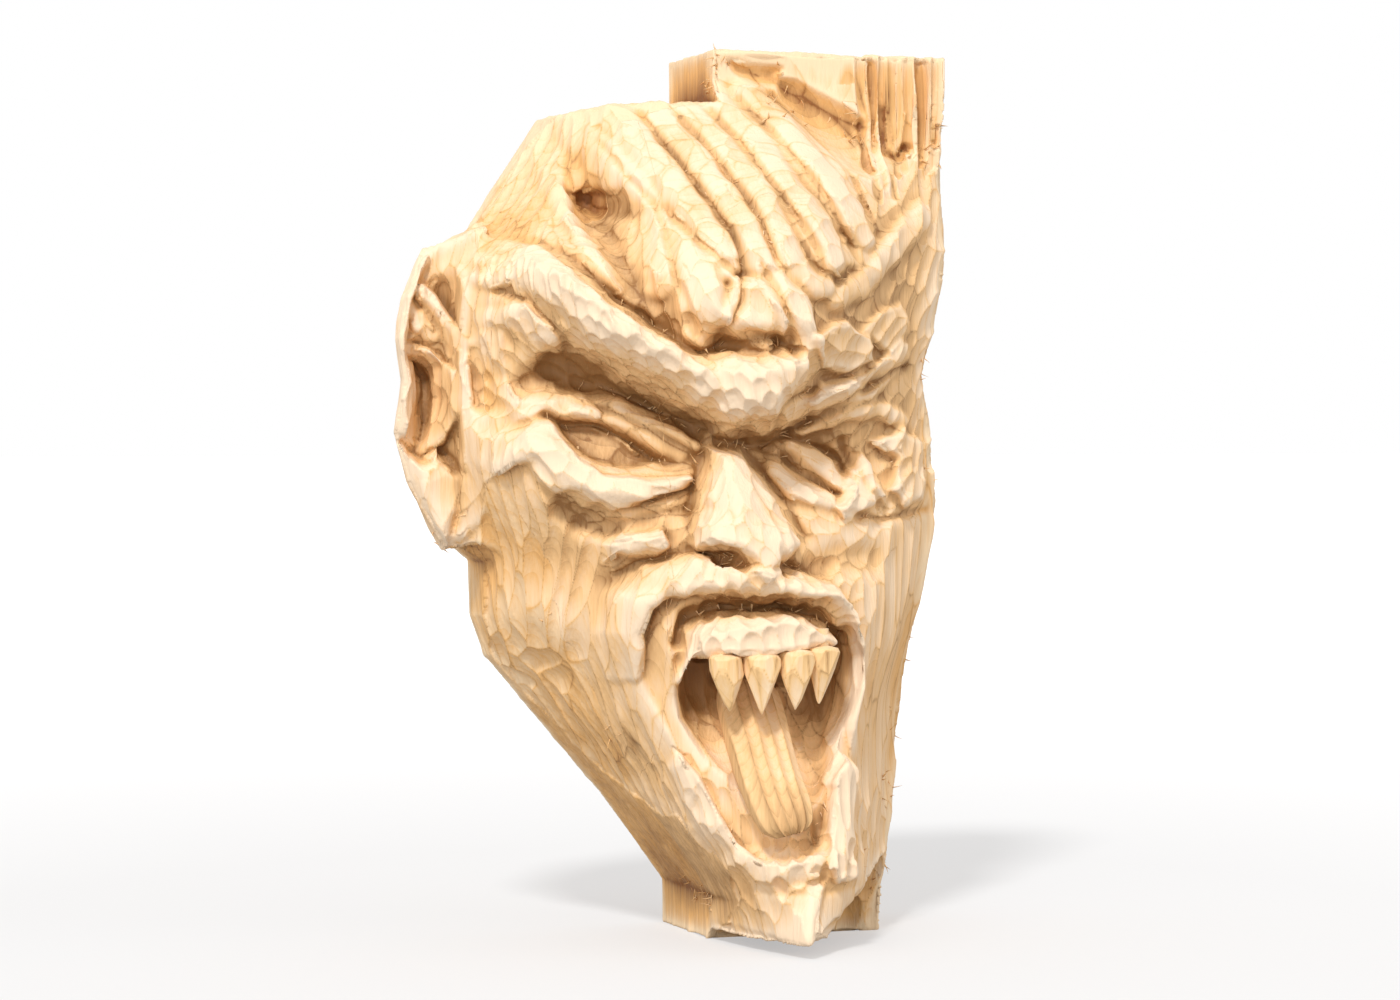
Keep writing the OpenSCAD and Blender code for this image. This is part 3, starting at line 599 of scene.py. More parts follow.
# ---------------------------------------------------------------- gouge work

# x, z, direction (degrees from +x), length, width, depth
CUTS = [
    (-55, 335, 75, 34, 7, 0.7), (-70, 305, 65, 34, 7, 0.7), (-82, 292, 60, 26, 7, 0.7),
    (-45, 325, 100, 30, 6, 0.6), (-28, 344, 120, 22, 8, 0.6), (-38, 303, 100, 14, 8, 0.7),
    (-32, 280, -60, 24, 8, 0.7), (-58, 282, -52, 26, 7, 0.7), (-88, 270, 80, 18, 7, 0.8),
    (-12, 320, -65, 13, 11, 0.5), (-8, 280, -75, 13, 10, 0.5), (15, 320, -58, 12, 12, 0.5),
    (20, 285, -60, 12, 12, 0.5), (45, 320, -50, 12, 12, 0.55), (45, 285, -55, 12, 12, 0.55),
    (65, 310, -45, 12, 12, 0.6), (62, 285, -50, 12, 10, 0.6), (-28, 320, -72, 14, 11, 0.5),
    (30, 305, -55, 12, 12, 0.55), (8, 264, -70, 13, 8, 0.8),
    (0, 245, -5, 14, 7, 0.8), (-78, 281, -60, 9, 5, 0.8), (-65, 273, -70, 9, 5, 0.8),
    (-50, 257, -65, 9, 5, 0.8), (-36, 245, -60, 9, 5.5, 0.8), (-20, 234, -55, 10, 6, 0.8),
    (5, 238, -70, 9, 6, 0.8), (22, 232, -75, 11, 7, 0.8), (2, 219, -70, 8, 7, 0.9),
    (40, 242, -20, 22, 10, 0.9), (62, 247, 10, 20, 10, 0.9), (60, 225, 30, 20, 7, 0.8),
    (85, 245, 40, 20, 8, 0.8), (85, 270, 50, 22, 10, 0.9), (100, 290, 60, 24, 9, 0.9),
    (108, 320, 75, 30, 8, 0.9), (82, 300, 50, 20, 9, 0.9), (90, 322, 60, 22, 9, 0.9),
    (60, 345, -52, 60, 26, 0.35), (28, 362, -30, 26, 14, 0.7), (98, 352, 90, 60, 6, 1.6),
    (-60, 240, -30, 12, 9, 0.9), (-45, 232, -30, 14, 8, 0.7), (-30, 216, -32, 24, 5, 0.5),
    (-72, 226, -10, 14, 9, 0.7), (-45, 207, -18, 20, 9, 0.12), (-52, 210, -10, 16, 8, 0.15), (-34, 202, -22, 14, 7, 0.12), (-72, 206, -20, 14, 8, 0.6),
    (-55, 196, -35, 12, 7, 0.7), (-30, 191, -8, 24, 4, 0.4), (-80, 185, 86, 62, 8, 0.8),
    (-72, 165, 83, 62, 8, 0.9), (-60, 150, 76, 55, 8, 0.9), (-48, 160, 66, 48, 8, 0.9),
    (-70, 135, 70, 24, 11, 1.2), (-55, 118, 30, 22, 12, 1.2), (-40, 130, 76, 50, 13, 0.7),
    (-32, 110, 80, 50, 11, 0.6), (-35, 167, 10, 12, 7, 0.7), (-32, 155, 30, 22, 12, 0.5),
    (-50, 95, -50, 48, 9, 0.7), (-30, 75, -52, 50, 9, 0.7), (-10, 45, -58, 50, 9, 0.7),
    (5, 20, -55, 26, 10, 0.8), (-20, 92, -72, 40, 9, 0.6), (2, 190, -80, 18, 6, 0.5),
    (6, 168, -75, 12, 8, 0.5), (-8, 172, 30, 9, 6, 0.4), (24, 170, -60, 9, 6, 0.5),
    (-28, 130, 100, 14, 6, 0.7), (-22, 148, 50, 9, 6, 0.7), (0, 154, 90, 9, 6, 0.7),
    (25, 152, 90, 9, 6, 0.7), (50, 148, 60, 10, 7, 0.7), (64, 130, 95, 16, 6, 0.6),
    (64, 105, 85, 24, 6, 0.6), (0, 130, -75, 11, 8, 1.2), (22, 130, -80, 11, 8, 1.2), (42, 130, -75, 11, 8, 0.8),
    (42, 197, -32, 14, 6, 0.4), (28, 196, -50, 12, 6, 0.5), (58, 184, 35, 14, 8, 0.9),
    (75, 195, 60, 12, 9, 0.9), (88, 190, 30, 12, 8, 0.9), (105, 200, 80, 16, 7, 0.9),
    (90, 215, 50, 18, 8, 0.8), (40, 178, -30, 14, 7, 0.6), (60, 165, 0, 20, 12, 0.6),
    (85, 160, 82, 50, 11, 0.5), (100, 150, 86, 60, 11, 0.5), (85, 120, 86, 70, 14, 0.5),
    (78, 90, 86, 60, 13, 0.5), (-8, 65, -65, 18, 7, 0.7), (0, 45, -60, 16, 7, 0.7),
    (4, 34, -90, 10, 6.5, 1.5), (18, 33, -90, 10, 6.5, 1.5), (32, 33, -90, 10, 6.5, 1.5),
    (48, 35, -90, 10, 6.5, 1.4),
    (52, 60, 88, 26, 7, 0.7), (22, 16, -60, 24, 16, 0.5), (34, 10, -80, 24, 16, 0.5), (46, 14, 70, 24, 16, 0.5),
    (66, 30, 85, 24, 9, 0.8), (72, 55, 80, 20, 9, 0.8), (-102, 240, 85, 14, 6, 0.7),
    (-97, 190, 70, 36, 15, 0.5),
]


def cut_style(x, z):
    """Direction, length, width and depth of the gouge cuts round a point."""
    c = np.array(CUTS)
    w = 1 / ((c[:, 0] - x) ** 2 + (c[:, 1] - z) ** 2 + 30) ** 2
    w /= w.sum()
    a = np.radians(c[:, 2]) * 2
    angle = math.atan2((w * np.sin(a)).sum(), (w * np.cos(a)).sum()) / 2
    return angle, *(w @ c[:, 3:6])


def tangents(normal, angle):
    """Directions along and across a cut, from its direction seen from the front."""
    along = np.array([math.cos(angle), 0.0, math.sin(angle)])
    along -= normal * (along @ normal)
    along /= np.linalg.norm(along)
    return along, np.cross(normal, along)


def place_cuts(points, normals, rng, spacing=0.7, style=cut_style):
    """Scatters cuts so that neighbours overlap by about half."""
    cuts, centres, frames = [], np.zeros((0, 3)), np.zeros((0, 8))
    for k in rng.permutation(len(points)):
        p, n = points[k], normals[k]
        angle, length, width, depth = style(p[0], p[2])
        along, across = tangents(n, angle + rng.normal(0, 0.08))
        near = frames[:len(cuts)]
        if len(cuts):
            r = p - centres[:len(cuts)]
            a = np.einsum("ij,ij->i", r, near[:, 0:3]) / near[:, 6]
            b = np.einsum("ij,ij->i", r, near[:, 3:6]) / near[:, 7]
            c = (r * r).sum(1) - (a * near[:, 6]) ** 2 - (b * near[:, 7]) ** 2
            if ((a * a + b * b < spacing * spacing) & (c < 25)).any():
                continue
        if len(cuts) == len(centres):
            centres = np.vstack([centres, np.zeros((2000, 3))])
            frames = np.vstack([frames, np.zeros((2000, 8))])
        centres[len(cuts)] = p
        frames[len(cuts)] = [*along, *across, length, width]
        size = rng.uniform(0.8, 1.25, 3)
        cuts.append((p, n, along, across, length * size[0], width * size[1], 1.7 * depth * size[2]))
    return cuts


class Buckets:
    """Finds the points near a place by their column in x and z."""

    def __init__(self, points, size=6.0):
        self.size = size
        self.low = points.min(0)
        cell = ((points - self.low) / size).astype(int)
        self.cols = cell[:, 2].max() + 1
        key = cell[:, 0] * self.cols + cell[:, 2]
        self.order = np.argsort(key, kind="stable")
        self.starts = np.searchsorted(key[self.order], np.arange(key.max() + 2))

    def near(self, p, reach):
        a = ((p - self.low - reach) / self.size).astype(int)
        b = ((p - self.low + reach) / self.size).astype(int)
        out = []
        for i in range(max(a[0], 0), b[0] + 1):
            lo = i * self.cols + max(a[2], 0)
            hi = i * self.cols + min(b[2], self.cols - 1) + 1
            if hi < len(self.starts) and lo < hi:
                out.append(self.order[self.starts[lo]:self.starts[hi]])
        return np.concatenate(out) if out else np.zeros(0, int)


def carve(points, normals, cuts, ridge=0.5):
    """Height left by the cuts, a tone for each cut, and how near a point is to the next cut."""
    buckets = Buckets(points)
    drop = np.full(len(points), ridge)
    after = np.full(len(points), 9.0)
    tone = np.zeros(len(points))
    rng = np.random.default_rng(5)
    for p, n, along, across, length, width, depth in cuts:
        shade = rng.uniform(-1, 1)
        lean = rng.normal(0, (0.02, 0.07))
        k = buckets.near(p, max(length, width) * 0.72)
        r = points[k] - p
        a, b, c = r @ along, r @ across, r @ n
        ok = (np.abs(c) < 6) & (normals[k] @ n > 0.5)
        end = np.where(a > 0, (2 * a / length) ** 2, np.abs(2 * a / length) ** 3)
        level = depth * (end + (2 * b / width) ** 2 - 1) + lean[0] * a + lean[1] * b
        ok &= level < after[k]
        k, level = k[ok], level[ok]
        first = level < drop[k]
        after[k] = np.where(first, drop[k], level)
        drop[k] = np.where(first, level, drop[k])
        tone[k[first]] = shade
    return drop, tone, np.exp(-(after - drop) / 0.14)


# ---------------------------------------------------------------- pieces

BOARDS = {
    "stub_plank": (14, 130, -10, BACK_T, -10, 400),
    "side_plank": (-84, 14, -10, BACK_T, -10, 400),
    "ear_block": (-130, -84, -10, BACK_T, -10, 400),
    "middle_plank_left": (-130, -22, BACK_T, FRONT_F, -10, 400),
    "middle_plank_right": (-22, 130, BACK_T, FRONT_F, -10, 400),
    "brow_block": (-130, 130, FRONT_F, 160, 203, 400),
    "muzzle_block": (-130, 130, FRONT_F, 160, 96, 203),
    "jaw_block": (-130, 130, FRONT_F, 160, -10, 96),
}


def to_world(points):
    out = np.empty_like(points)
    out[:, 0] = (NOSE_X + points[:, 0]) * MM
    out[:, 1] = (BACK_Y - points[:, 1]) * MM
    out[:, 2] = points[:, 2] * MM
    return out


def new_object(name, points, faces, attributes=None):
    mesh = bpy.data.meshes.new(name)
    n = faces.shape[1]
    mesh.vertices.add(len(points))
    mesh.vertices.foreach_set("co", to_world(points).ravel())
    mesh.loops.add(faces.size)
    mesh.loops.foreach_set("vertex_index", faces.ravel())
    mesh.polygons.add(len(faces))
    mesh.polygons.foreach_set("loop_start", np.arange(0, faces.size, n))
    mesh.update(calc_edges=True)
    for key, values in (attributes or {}).items():
        mesh.attributes.new(key, "FLOAT", "POINT").data.foreach_set("value", values)
    mesh.validate()
    obj = bpy.data.objects.new(name, mesh)
    bpy.context.scene.collection.objects.link(obj)
    return obj


def box_object(name, x0, x1, f0, f1, z0, z1):
    corners = [(x, f, z) for x in (x0, x1) for f in (f0, f1) for z in (z0, z1)]
    faces = [(0, 1, 3, 2), (4, 6, 7, 5), (0, 4, 5, 1), (2, 3, 7, 6), (0, 2, 6, 4), (1, 5, 7, 3)]
    faces = [f[::-1] for f in faces]
    return new_object(name, np.array(corners, float), np.array(faces))


def cut_board(sculpture, name, box):
    cutter = box_object("cutter", *box)
    obj = sculpture.copy()
    obj.name = name
    bpy.context.scene.collection.objects.link(obj)
    m = obj.modifiers.new("cut", "BOOLEAN")
    m.operation = "INTERSECT"
    m.solver = "MANIFOLD"
    m.object = cutter
    bpy.context.view_layer.update()
    graph = bpy.context.evaluated_depsgraph_get()
    mesh = bpy.data.meshes.new_from_object(obj.evaluated_get(graph))
    mesh.name = name
    obj.modifiers.clear()
    obj.data = mesh
    bpy.data.objects.remove(cutter)
    return obj


def make_sculpture():
    volume, origin = sculpt_volume()
    points, quads = surface_of(volume, origin, PITCH)
    # Painted shade is drawn from these: the material darkens where much wood surrounds a point, in creases (2.8 mm) and
    # in hollows (14 mm).
    crease_shade = surround(volume, origin, points, 2.8)
    deep = surround(volume, origin, points, 14.0)
    del volume
    normals = normals_of(points, quads)
    middle = points.mean(0)
    if ((points - middle) * normals).sum() < 0:
        quads = quads[:, ::-1].copy()
        normals = -normals
    points = relaxed(points, quads, 1)
    normals = normals_of(points, quads)
    soft = relaxed(normals, quads, 3)
    soft /= np.linalg.norm(soft, axis=1, keepdims=True)
    hollow = np.abs(ellipsoid(*HOLLOW, *points.T)) < 2.5
    front = (points[:, 1] > 12) & (soft[:, 1] > 0.12) & ~hollow
    bowl = hollow & (points[:, 1] > 2)
    rng = np.random.default_rng(11)
    seeds = np.where(front)[0]
    seeds = rng.choice(seeds, min(len(seeds), 30000), replace=False)
    cuts = place_cuts(points[seeds], soft[seeds], rng)
    seeds = rng.choice(np.where(bowl)[0], 4000, replace=False)
    cuts += place_cuts(points[seeds], soft[seeds], rng, style=lambda x, z: (1.5, 34, 15, 0.8))
    drop, tone, seam = carve(points, soft, cuts)
    worked = front | bowl
    drop = np.where(worked, drop, 0)
    seam = np.where(worked, seam, 0)
    grain = lattice_noise(points * (1, 1, 0.12), 1.6, 3)
    rough = lattice_noise(points * (1, 1, 0.25), 5.0, 5)
    side = 1 - np.clip(np.abs(soft[:, 1]) * 1.6, 0, 1)
    drop = drop + 0.06 * grain + side * (0.7 * rough + 0.25 * grain)
    points = points + soft * drop[:, None]
    print("sculpture", len(points), "points", len(cuts), "cuts")
    quads = quads[:, ::-1].copy()
    x, f, z = points.T
    # Painted shade on the upper right strip of the stub and on the right side of the back board, faces turned from the
    # light; the foot is also darker towards the bottom.
    shade_right_dark_base = np.clip((24 - z) / 6, 0, 1) * (f < 90)
    shade_right_dark_base = np.maximum(shade_right_dark_base, np.clip((x - 78) / 6, 0, 1) * np.clip((z - 316) / 20, 0, 1))
    shade_right_dark_base = np.maximum(shade_right_dark_base, 0.8 * np.clip((56 - f) / 14, 0, 1) * (x > 60))
    # Painted shade along the listed paths joins the hollow measure.
    deep = deep + painted_shade_of(x, z) * (f > 56)
    marks = {"cut": drop, "seam": seam, "tone": tone, "crease_shade": crease_shade, "deep": deep,
             "sawn": (~worked).astype(float), "shade_right_dark_base": shade_right_dark_base}
    return new_object("sculpture", points, quads, marks)


def slivers(starts, leans, rng, length=(2.0, 5.0), radius=(0.2, 0.42)):
    """Torn fibres: thin curved closed slivers that rise from the wood."""
    points, faces = [], []
    for start, lean in zip(starts, leans):
        size, thick = rng.uniform(*length), rng.uniform(*radius)
        along = lean / np.linalg.norm(lean)
        bend = rng.normal(0, 0.6, 3)
        side = np.cross(along, bend)
        side /= np.linalg.norm(side)
        flat = np.cross(side, along)
        base = len(points)
        for share in (-0.25, 0.25, 0.6, 0.85):
            c = start + along * share * size + bend * size * 0.3 * share * share
            for k in range(3):
                turn = 2 * math.pi * k / 3
                points.append(c + thick * (1.05 - share) * (side * math.cos(turn) * 1.6
                                                            + flat * math.sin(turn) * 0.8))
        points.append(start + along * size + bend * size * 0.3)
        for ring in range(3):
            for k in range(3):
                i, j = base + ring * 3 + k, base + ring * 3 + (k + 1) % 3
                faces += [(i, j, j + 3), (i, j + 3, i + 3)]
        for k in range(3):
            faces.append((base + 9 + k, base + 9 + (k + 1) % 3, base + 12))
        faces.append((base + 2, base + 1, base))
    return np.array(points), np.array(faces)


# Torn edges: x, f, z, reach, how many
TORN = [
    (14, 50, 356, 9, 9), (16, 58, 368, 8, 5), (40, 61, 352, 16, 9), (76, 60, 345, 12, 6),
    (113, 58, 330, 8, 6), (114, 56, 338, 7, 4), (108, 56, 240, 9, 4), (112, 56, 200, 9, 3),
    (104, 50, 120, 10, 3), (98, 50, 90, 10, 4), (95, 56, 60, 12, 4), (89, 58, 24, 8, 7),
    (12, 40, 22, 9, 9), (12, 58, 18, 8, 5), (60, 90, 30, 12, 4), (-96, 24, 165, 7, 4),
    (-88, 30, 176, 8, 3), (-40, 60, 84, 12, 2), (-66, 60, 130, 12, 2),
]


def add_fibres(pieces):
    """Fuzz in the deep creases and splinters along torn edges, joined to their own board."""
    rng = np.random.default_rng(23)
    for obj in pieces.values():
        mesh = obj.data
        n = len(mesh.vertices)
        co = np.empty(n * 3)
        no = np.empty(n * 3)
        mesh.vertices.foreach_get("co", co)
        mesh.vertices.foreach_get("normal", no)
        co, no = co.reshape(-1, 3) / MM, no.reshape(-1, 3)
        p = np.stack([co[:, 0] - NOSE_X, BACK_Y - co[:, 1], co[:, 2]], 1)
        normal = no * (1, -1, 1)
        mark = {}
        for key in ("crease_shade", "sawn"):
            mark[key] = np.empty(n)
            mesh.attributes[key].data.foreach_get("value", mark[key])
        crease = np.where((mark["crease_shade"] > 0.3) & (mark["sawn"] < 0.5) & (p[:, 1] > 66))[0]
        chosen = [rng.choice(crease, min(len(crease), n // 2600), replace=False)]
        for x, f, z, reach, count in TORN:
            near = np.where(((p - (x, f, z)) ** 2).sum(1) < reach * reach)[0]
            if len(near) > 200:
                chosen.append(rng.choice(near, count, replace=False))
        k = np.concatenate(chosen)
        if not len(k):
            continue
        lean = normal[k] * 0.7 + rng.normal(0, 0.55, (len(k), 3)) + (0, 0, -0.15)
        points, faces = slivers(p[k], lean, rng)
        # The slivers take a constant painted shade.
        m = np.full(len(points), 0.12)
        fuzz = new_object("fuzz", points, faces[:, ::-1].copy(), {"crease_shade": m, "deep": m * 0})
        with bpy.context.temp_override(active_object=obj, selected_editable_objects=[obj, fuzz]):
            bpy.ops.object.join()


sculpture = make_sculpture()
pieces = {}
for name, box in BOARDS.items():
    pieces[name] = cut_board(sculpture, name + "_carved", box)
bpy.data.objects.remove(sculpture)
add_fibres(pieces)


class Nodes:
    """A material's node tree, written as short calls."""

    def __init__(self, name):
        self.material = bpy.data.materials.new(name)
        self.material.use_nodes = True
        self.tree = self.material.node_tree
        self.shader = self.tree.nodes["Principled BSDF"]
        self.place = self.add("ShaderNodeTexCoord").outputs["Object"]

    def add(self, kind, **settings):
        node = self.tree.nodes.new(kind)
        for key, value in settings.items():
            setattr(node, key, value)
        return node

    def link(self, source, target):
        if hasattr(source, "is_output"):
            self.tree.links.new(source, target)
        else:
            target.default_value = source

    def math(self, operation, a, b=0.0, clamp=False):
        node = self.add("ShaderNodeMath", operation=operation, use_clamp=clamp)
        self.link(a, node.inputs[0])
        self.link(b, node.inputs[1])
        return node.outputs[0]

    def mapped(self, scale=(1, 1, 1), location=(0, 0, 0), rotation=(0, 0, 0)):
        node = self.add("ShaderNodeMapping")
        node.inputs["Scale"].default_value = scale
        node.inputs["Location"].default_value = location
        node.inputs["Rotation"].default_value = rotation
        self.link(self.place, node.inputs["Vector"])
        return node.outputs[0]

    def noise(self, vector, scale, detail=3.0, roughness=0.55):
        node = self.add("ShaderNodeTexNoise")
        self.link(vector, node.inputs["Vector"])
        node.inputs["Scale"].default_value = scale
        node.inputs["Detail"].default_value = detail
        node.inputs["Roughness"].default_value = roughness
        return node.outputs["Fac"]

    def rings(self, vector, scale, distortion):
        node = self.add("ShaderNodeTexWave", wave_type="RINGS", rings_direction="Z",
                        wave_profile="SAW")
        self.link(vector, node.inputs["Vector"])
        node.inputs["Scale"].default_value = scale
        node.inputs["Distortion"].default_value = distortion
        node.inputs["Detail"].default_value = 2
        node.inputs["Detail Scale"].default_value = 0.6
        return node.outputs["Fac"]

    def mark(self, name):
        return self.add("ShaderNodeAttribute", attribute_name=name).outputs["Fac"]

    def ramp(self, value, stops):
        node = self.add("ShaderNodeValToRGB")
        ramp = node.color_ramp
        while len(ramp.elements) < len(stops):
            ramp.elements.new(0.5)
        for element, (at, colour) in zip(ramp.elements, stops):
            element.position = at
            element.color = colour if isinstance(colour, tuple) else (colour,) * 3 + (1,)
        self.link(value, node.inputs[0])
        return node.outputs[0]

    def mix(self, blend, factor, a, b):
        node = self.add("ShaderNodeMix", data_type="RGBA", blend_type=blend)
        self.link(factor, node.inputs["Factor"])
        self.link(a, node.inputs["A"])
        self.link(b, node.inputs["B"])
        return node.outputs["Result"]

    def bump(self, height, strength, distance, normal=None):
        node = self.add("ShaderNodeBump")
        node.inputs["Strength"].default_value = strength
        node.inputs["Distance"].default_value = distance
        self.link(height, node.inputs["Height"])
        if normal is not None:
            self.link(normal, node.inputs["Normal"])
        return node.outputs[0]


def srgb(r, g, b):
    return tuple((v / 255 / 12.92) if v < 11 else ((v / 255 + 0.055) / 1.055) ** 2.4
                 for v in (r, g, b)) + (1.0,)


def wood_material(name, pale, mid, dark, base=0.4, fibre=1.0):
    """Fresh wood with the grain upright: rings, fibres and blotches, with painted shade in creases, hollows and on the
    right, and painted light on faces turned up.
    """
    m = Nodes(name)
    grain = m.mapped((1, 1, 0.05))
    rings = m.rings(m.mapped((1, 1, 0.1), (-0.03, -0.16, 0), (0.03, 0.02, 0)), 105, 1.6)
    fibres = m.noise(grain, 900, 3, 0.6)
    streaks = m.noise(m.mapped((1, 1, 0.09)), 90, 4, 0.6)
    blotch = m.noise(m.place, 22, 3, 0.5)
    # Painted shade: the colour darkens in creases and in hollows by how much wood surrounds each point.
    hollow = m.math("ADD", m.math("MULTIPLY", m.mark("crease_shade"), 0.74),
                    m.math("MULTIPLY", m.mark("deep"), 0.75))
    value = m.math("ADD", base, hollow)
    value = m.math("ADD", value, m.math("MULTIPLY", m.mark("seam"), 0.34))
    value = m.math("ADD", value, m.math("MULTIPLY", m.math("SUBTRACT", streaks, 0.5), 0.55))
    value = m.math("ADD", value, m.math("MULTIPLY", m.math("SUBTRACT", blotch, 0.5), 0.6))
    value = m.math("ADD", value, m.math("MULTIPLY", m.mark("tone"), 0.045))
    value = m.math("ADD", value, m.math("MULTIPLY", m.math("POWER", rings, 5.0), 0.12))
    value = m.math("ADD", value, m.math("MULTIPLY", m.math("SUBTRACT", fibres, 0.5), 0.22))
    value = m.math("ADD", value, m.math("MULTIPLY", m.mark("sawn"), 0.16))
    # Painted shade on the right side, and darker towards the bottom of the foot.
    value = m.math("ADD", value, m.math("MULTIPLY", m.mark("shade_right_dark_base"), 0.17))
    # Painted light from above: faces turned up are paler, faces turned down darker.
    painted_top_light = m.add("ShaderNodeSeparateXYZ")
    m.link(m.add("ShaderNodeNewGeometry").outputs["Normal"], painted_top_light.inputs[0])
    value = m.math("SUBTRACT", value, m.math("MULTIPLY", painted_top_light.outputs["Z"], 0.14))
    colour = m.ramp(value, [(0.12, pale), (0.5, mid), (0.95, dark)])
    m.link(colour, m.shader.inputs["Base Color"])
    m.link(m.math("ADD", 0.5, m.math("MULTIPLY", fibres, 0.3)), m.shader.inputs["Roughness"])
    first = m.bump(fibres, 0.6 * fibre, 0.0006)
    second = m.bump(rings, 0.12, 0.0005, first)
    m.link(second, m.shader.inputs["Normal"])
    return m.material


carved = wood_material("carved_wood", srgb(247, 220, 188), srgb(236, 191, 134),
                       srgb(150, 106, 58))
plank = wood_material("plank_wood", srgb(246, 216, 176), srgb(232, 180, 114),
                      srgb(142, 90, 42), 0.35)
ivory = wood_material("fang_wood", srgb(250, 226, 194), srgb(238, 196, 138),
                      srgb(146, 98, 48), 0.3)
for name, obj in pieces.items():
    print(name, len(obj.data.polygons))
    obj.data.materials.clear()
    sawn = name in ("stub_plank", "side_plank")
    obj.data.materials.append(plank if sawn else carved)
    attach(obj, "root")
    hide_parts(name)

# ---------------------------------------------------------------- fangs and tongue

# One fang from its root down: share of the length, half width, half depth
FANG = [(0.0, 6.4, 5.4), (0.07, 7.3, 6.2), (0.2, 7.6, 6.4), (0.4, 6.9, 6.0), (0.6, 5.2, 4.9),
        (0.8, 2.9, 3.1), (0.94, 1.1, 1.3), (1.0, 0.3, 0.4)]
FANGS = [(-2.5, 112.5, 122.0, 1.0, 0.06), (12.0, 115.5, 122.3, 1.08, -0.02),
         (27.0, 115.5, 123.5, 1.06, -0.06), (39.5, 112.5, 124.5, 1.02, -0.1)]
FANG_L = 22.0


def loft(rings, closed=True):
    """Quads between rings of points, with a fan at each end."""
    n = len(rings[0])
    points = np.concatenate([np.array(r, float) for r in rings] + [
        np.mean(rings[0], axis=0)[None], np.mean(rings[-1], axis=0)[None]])
    faces = []
    for k in range(len(rings) - 1):
        for i in range(n):
            j = (i + 1) % n
            faces.append((k * n + i, k * n + j, (k + 1) * n + j, (k + 1) * n + i))
    ends = []
    top, last = len(points) - 2, (len(rings) - 1) * n
    for i in range(n):
        j = (i + 1) % n
        ends.append((j, i, top))
        ends.append((last + i, last + j, len(points) - 1))
    return points, faces + ends


def lofted_object(name, rings, marks):
    points, faces = loft(rings)
    mesh = bpy.data.meshes.new(name)
    mesh.from_pydata(to_world(points), [], faces)
    for key, values in marks.items():
        mesh.attributes.new(key, "FLOAT", "POINT").data.foreach_set("value", values)
    obj = bpy.data.objects.new(name, mesh)
    bpy.context.scene.collection.objects.link(obj)
    return obj


def fang(index, x, f, z, size, lean):
    """A whittled fang: a round form cut back by flat knife strokes, and a round peg on top."""
    rng = np.random.default_rng(40 + index)
    around, steps = 64, 60
    turn = np.linspace(0, 2 * math.pi, around, endpoint=False)
    share = np.linspace(0, 1, steps)
    profile = np.array(FANG)
    half = np.interp(share, profile[:, 0], profile[:, 1]) * size
    deep = np.interp(share, profile[:, 0], profile[:, 2]) * size
    body = np.stack([np.cos(turn) * half[:, None], np.sin(turn) * deep[:, None],
                     np.repeat(-share[:, None] * FANG_L * size, around, 1)], -1)
    planes = []
    for k in range(17):
        side = 2 * math.pi * (k + rng.uniform(-0.35, 0.35)) / 8.5
        low = rng.uniform(0.5, 0.95) if k % 2 else rng.uniform(0.05, 0.35)
        dip = math.radians(rng.uniform(16, 24) if k % 2 else rng.uniform(-6, 4))
        n = np.array([math.cos(side) * math.cos(dip), math.sin(side) * math.cos(dip),
                      -math.sin(dip)])
        at = np.array([math.cos(side) * np.interp(low, share, half),
                       math.sin(side) * np.interp(low, share, deep), -low * FANG_L * size])
        level = at @ n - rng.uniform(0.3, 0.7)
        body -= np.clip(body @ n - level, 0, None)[..., None] * n
        planes.append((n, level))
    near = np.sort([level - body @ n for n, level in planes], axis=0)
    edges = np.exp(-np.clip(near[1] - near[0], 0, None) / 0.22) * (near[0] < 0.4)
    body += (x, f, z)
    body[..., 0] += lean * share[:, None] * FANG_L
    body[..., 1] += 1.5 * share[:, None]
    peg = [np.stack([x + 2.5 * np.cos(turn), f + 2.5 * np.sin(turn),
                     np.full(around, z + dz)], -1) for dz in (8.0, 1.0)]
    # Painted shade: darker at the root under the gum, paler towards the tip, with a little constant shade over the
    # whole fang.
    shade = np.concatenate([np.zeros(2 * around), 0.22 - 0.45 * np.repeat(share, around), [0, 0]])
    edges = np.concatenate([np.zeros(2 * around), edges.ravel(), [0, 0]])
    return lofted_object("fang_%d_whittled" % index, peg + list(body),
                         {"crease_shade": shade, "deep": np.full(len(shade), 0.04), "seam": edges})


# The tongue: x, f, z of its middle line, half width, half thickness
TONGUE = [(16.6, 84.5, 108, 11.5, 5.0), (16.4, 88, 104, 13.0, 7.0), (16.0, 95, 96, 13.6, 7.5),
          (15.6, 103, 87, 13.5, 7.5), (15.6, 111, 77, 13.3, 7.2), (17.0, 118, 67, 12.9, 6.8),
          (19.0, 122.5, 59, 12.2, 6.2), (20.6, 124.5, 53.5, 10.2, 5.0),
          (21.3, 125.0, 50.5, 6.4, 3.0)]


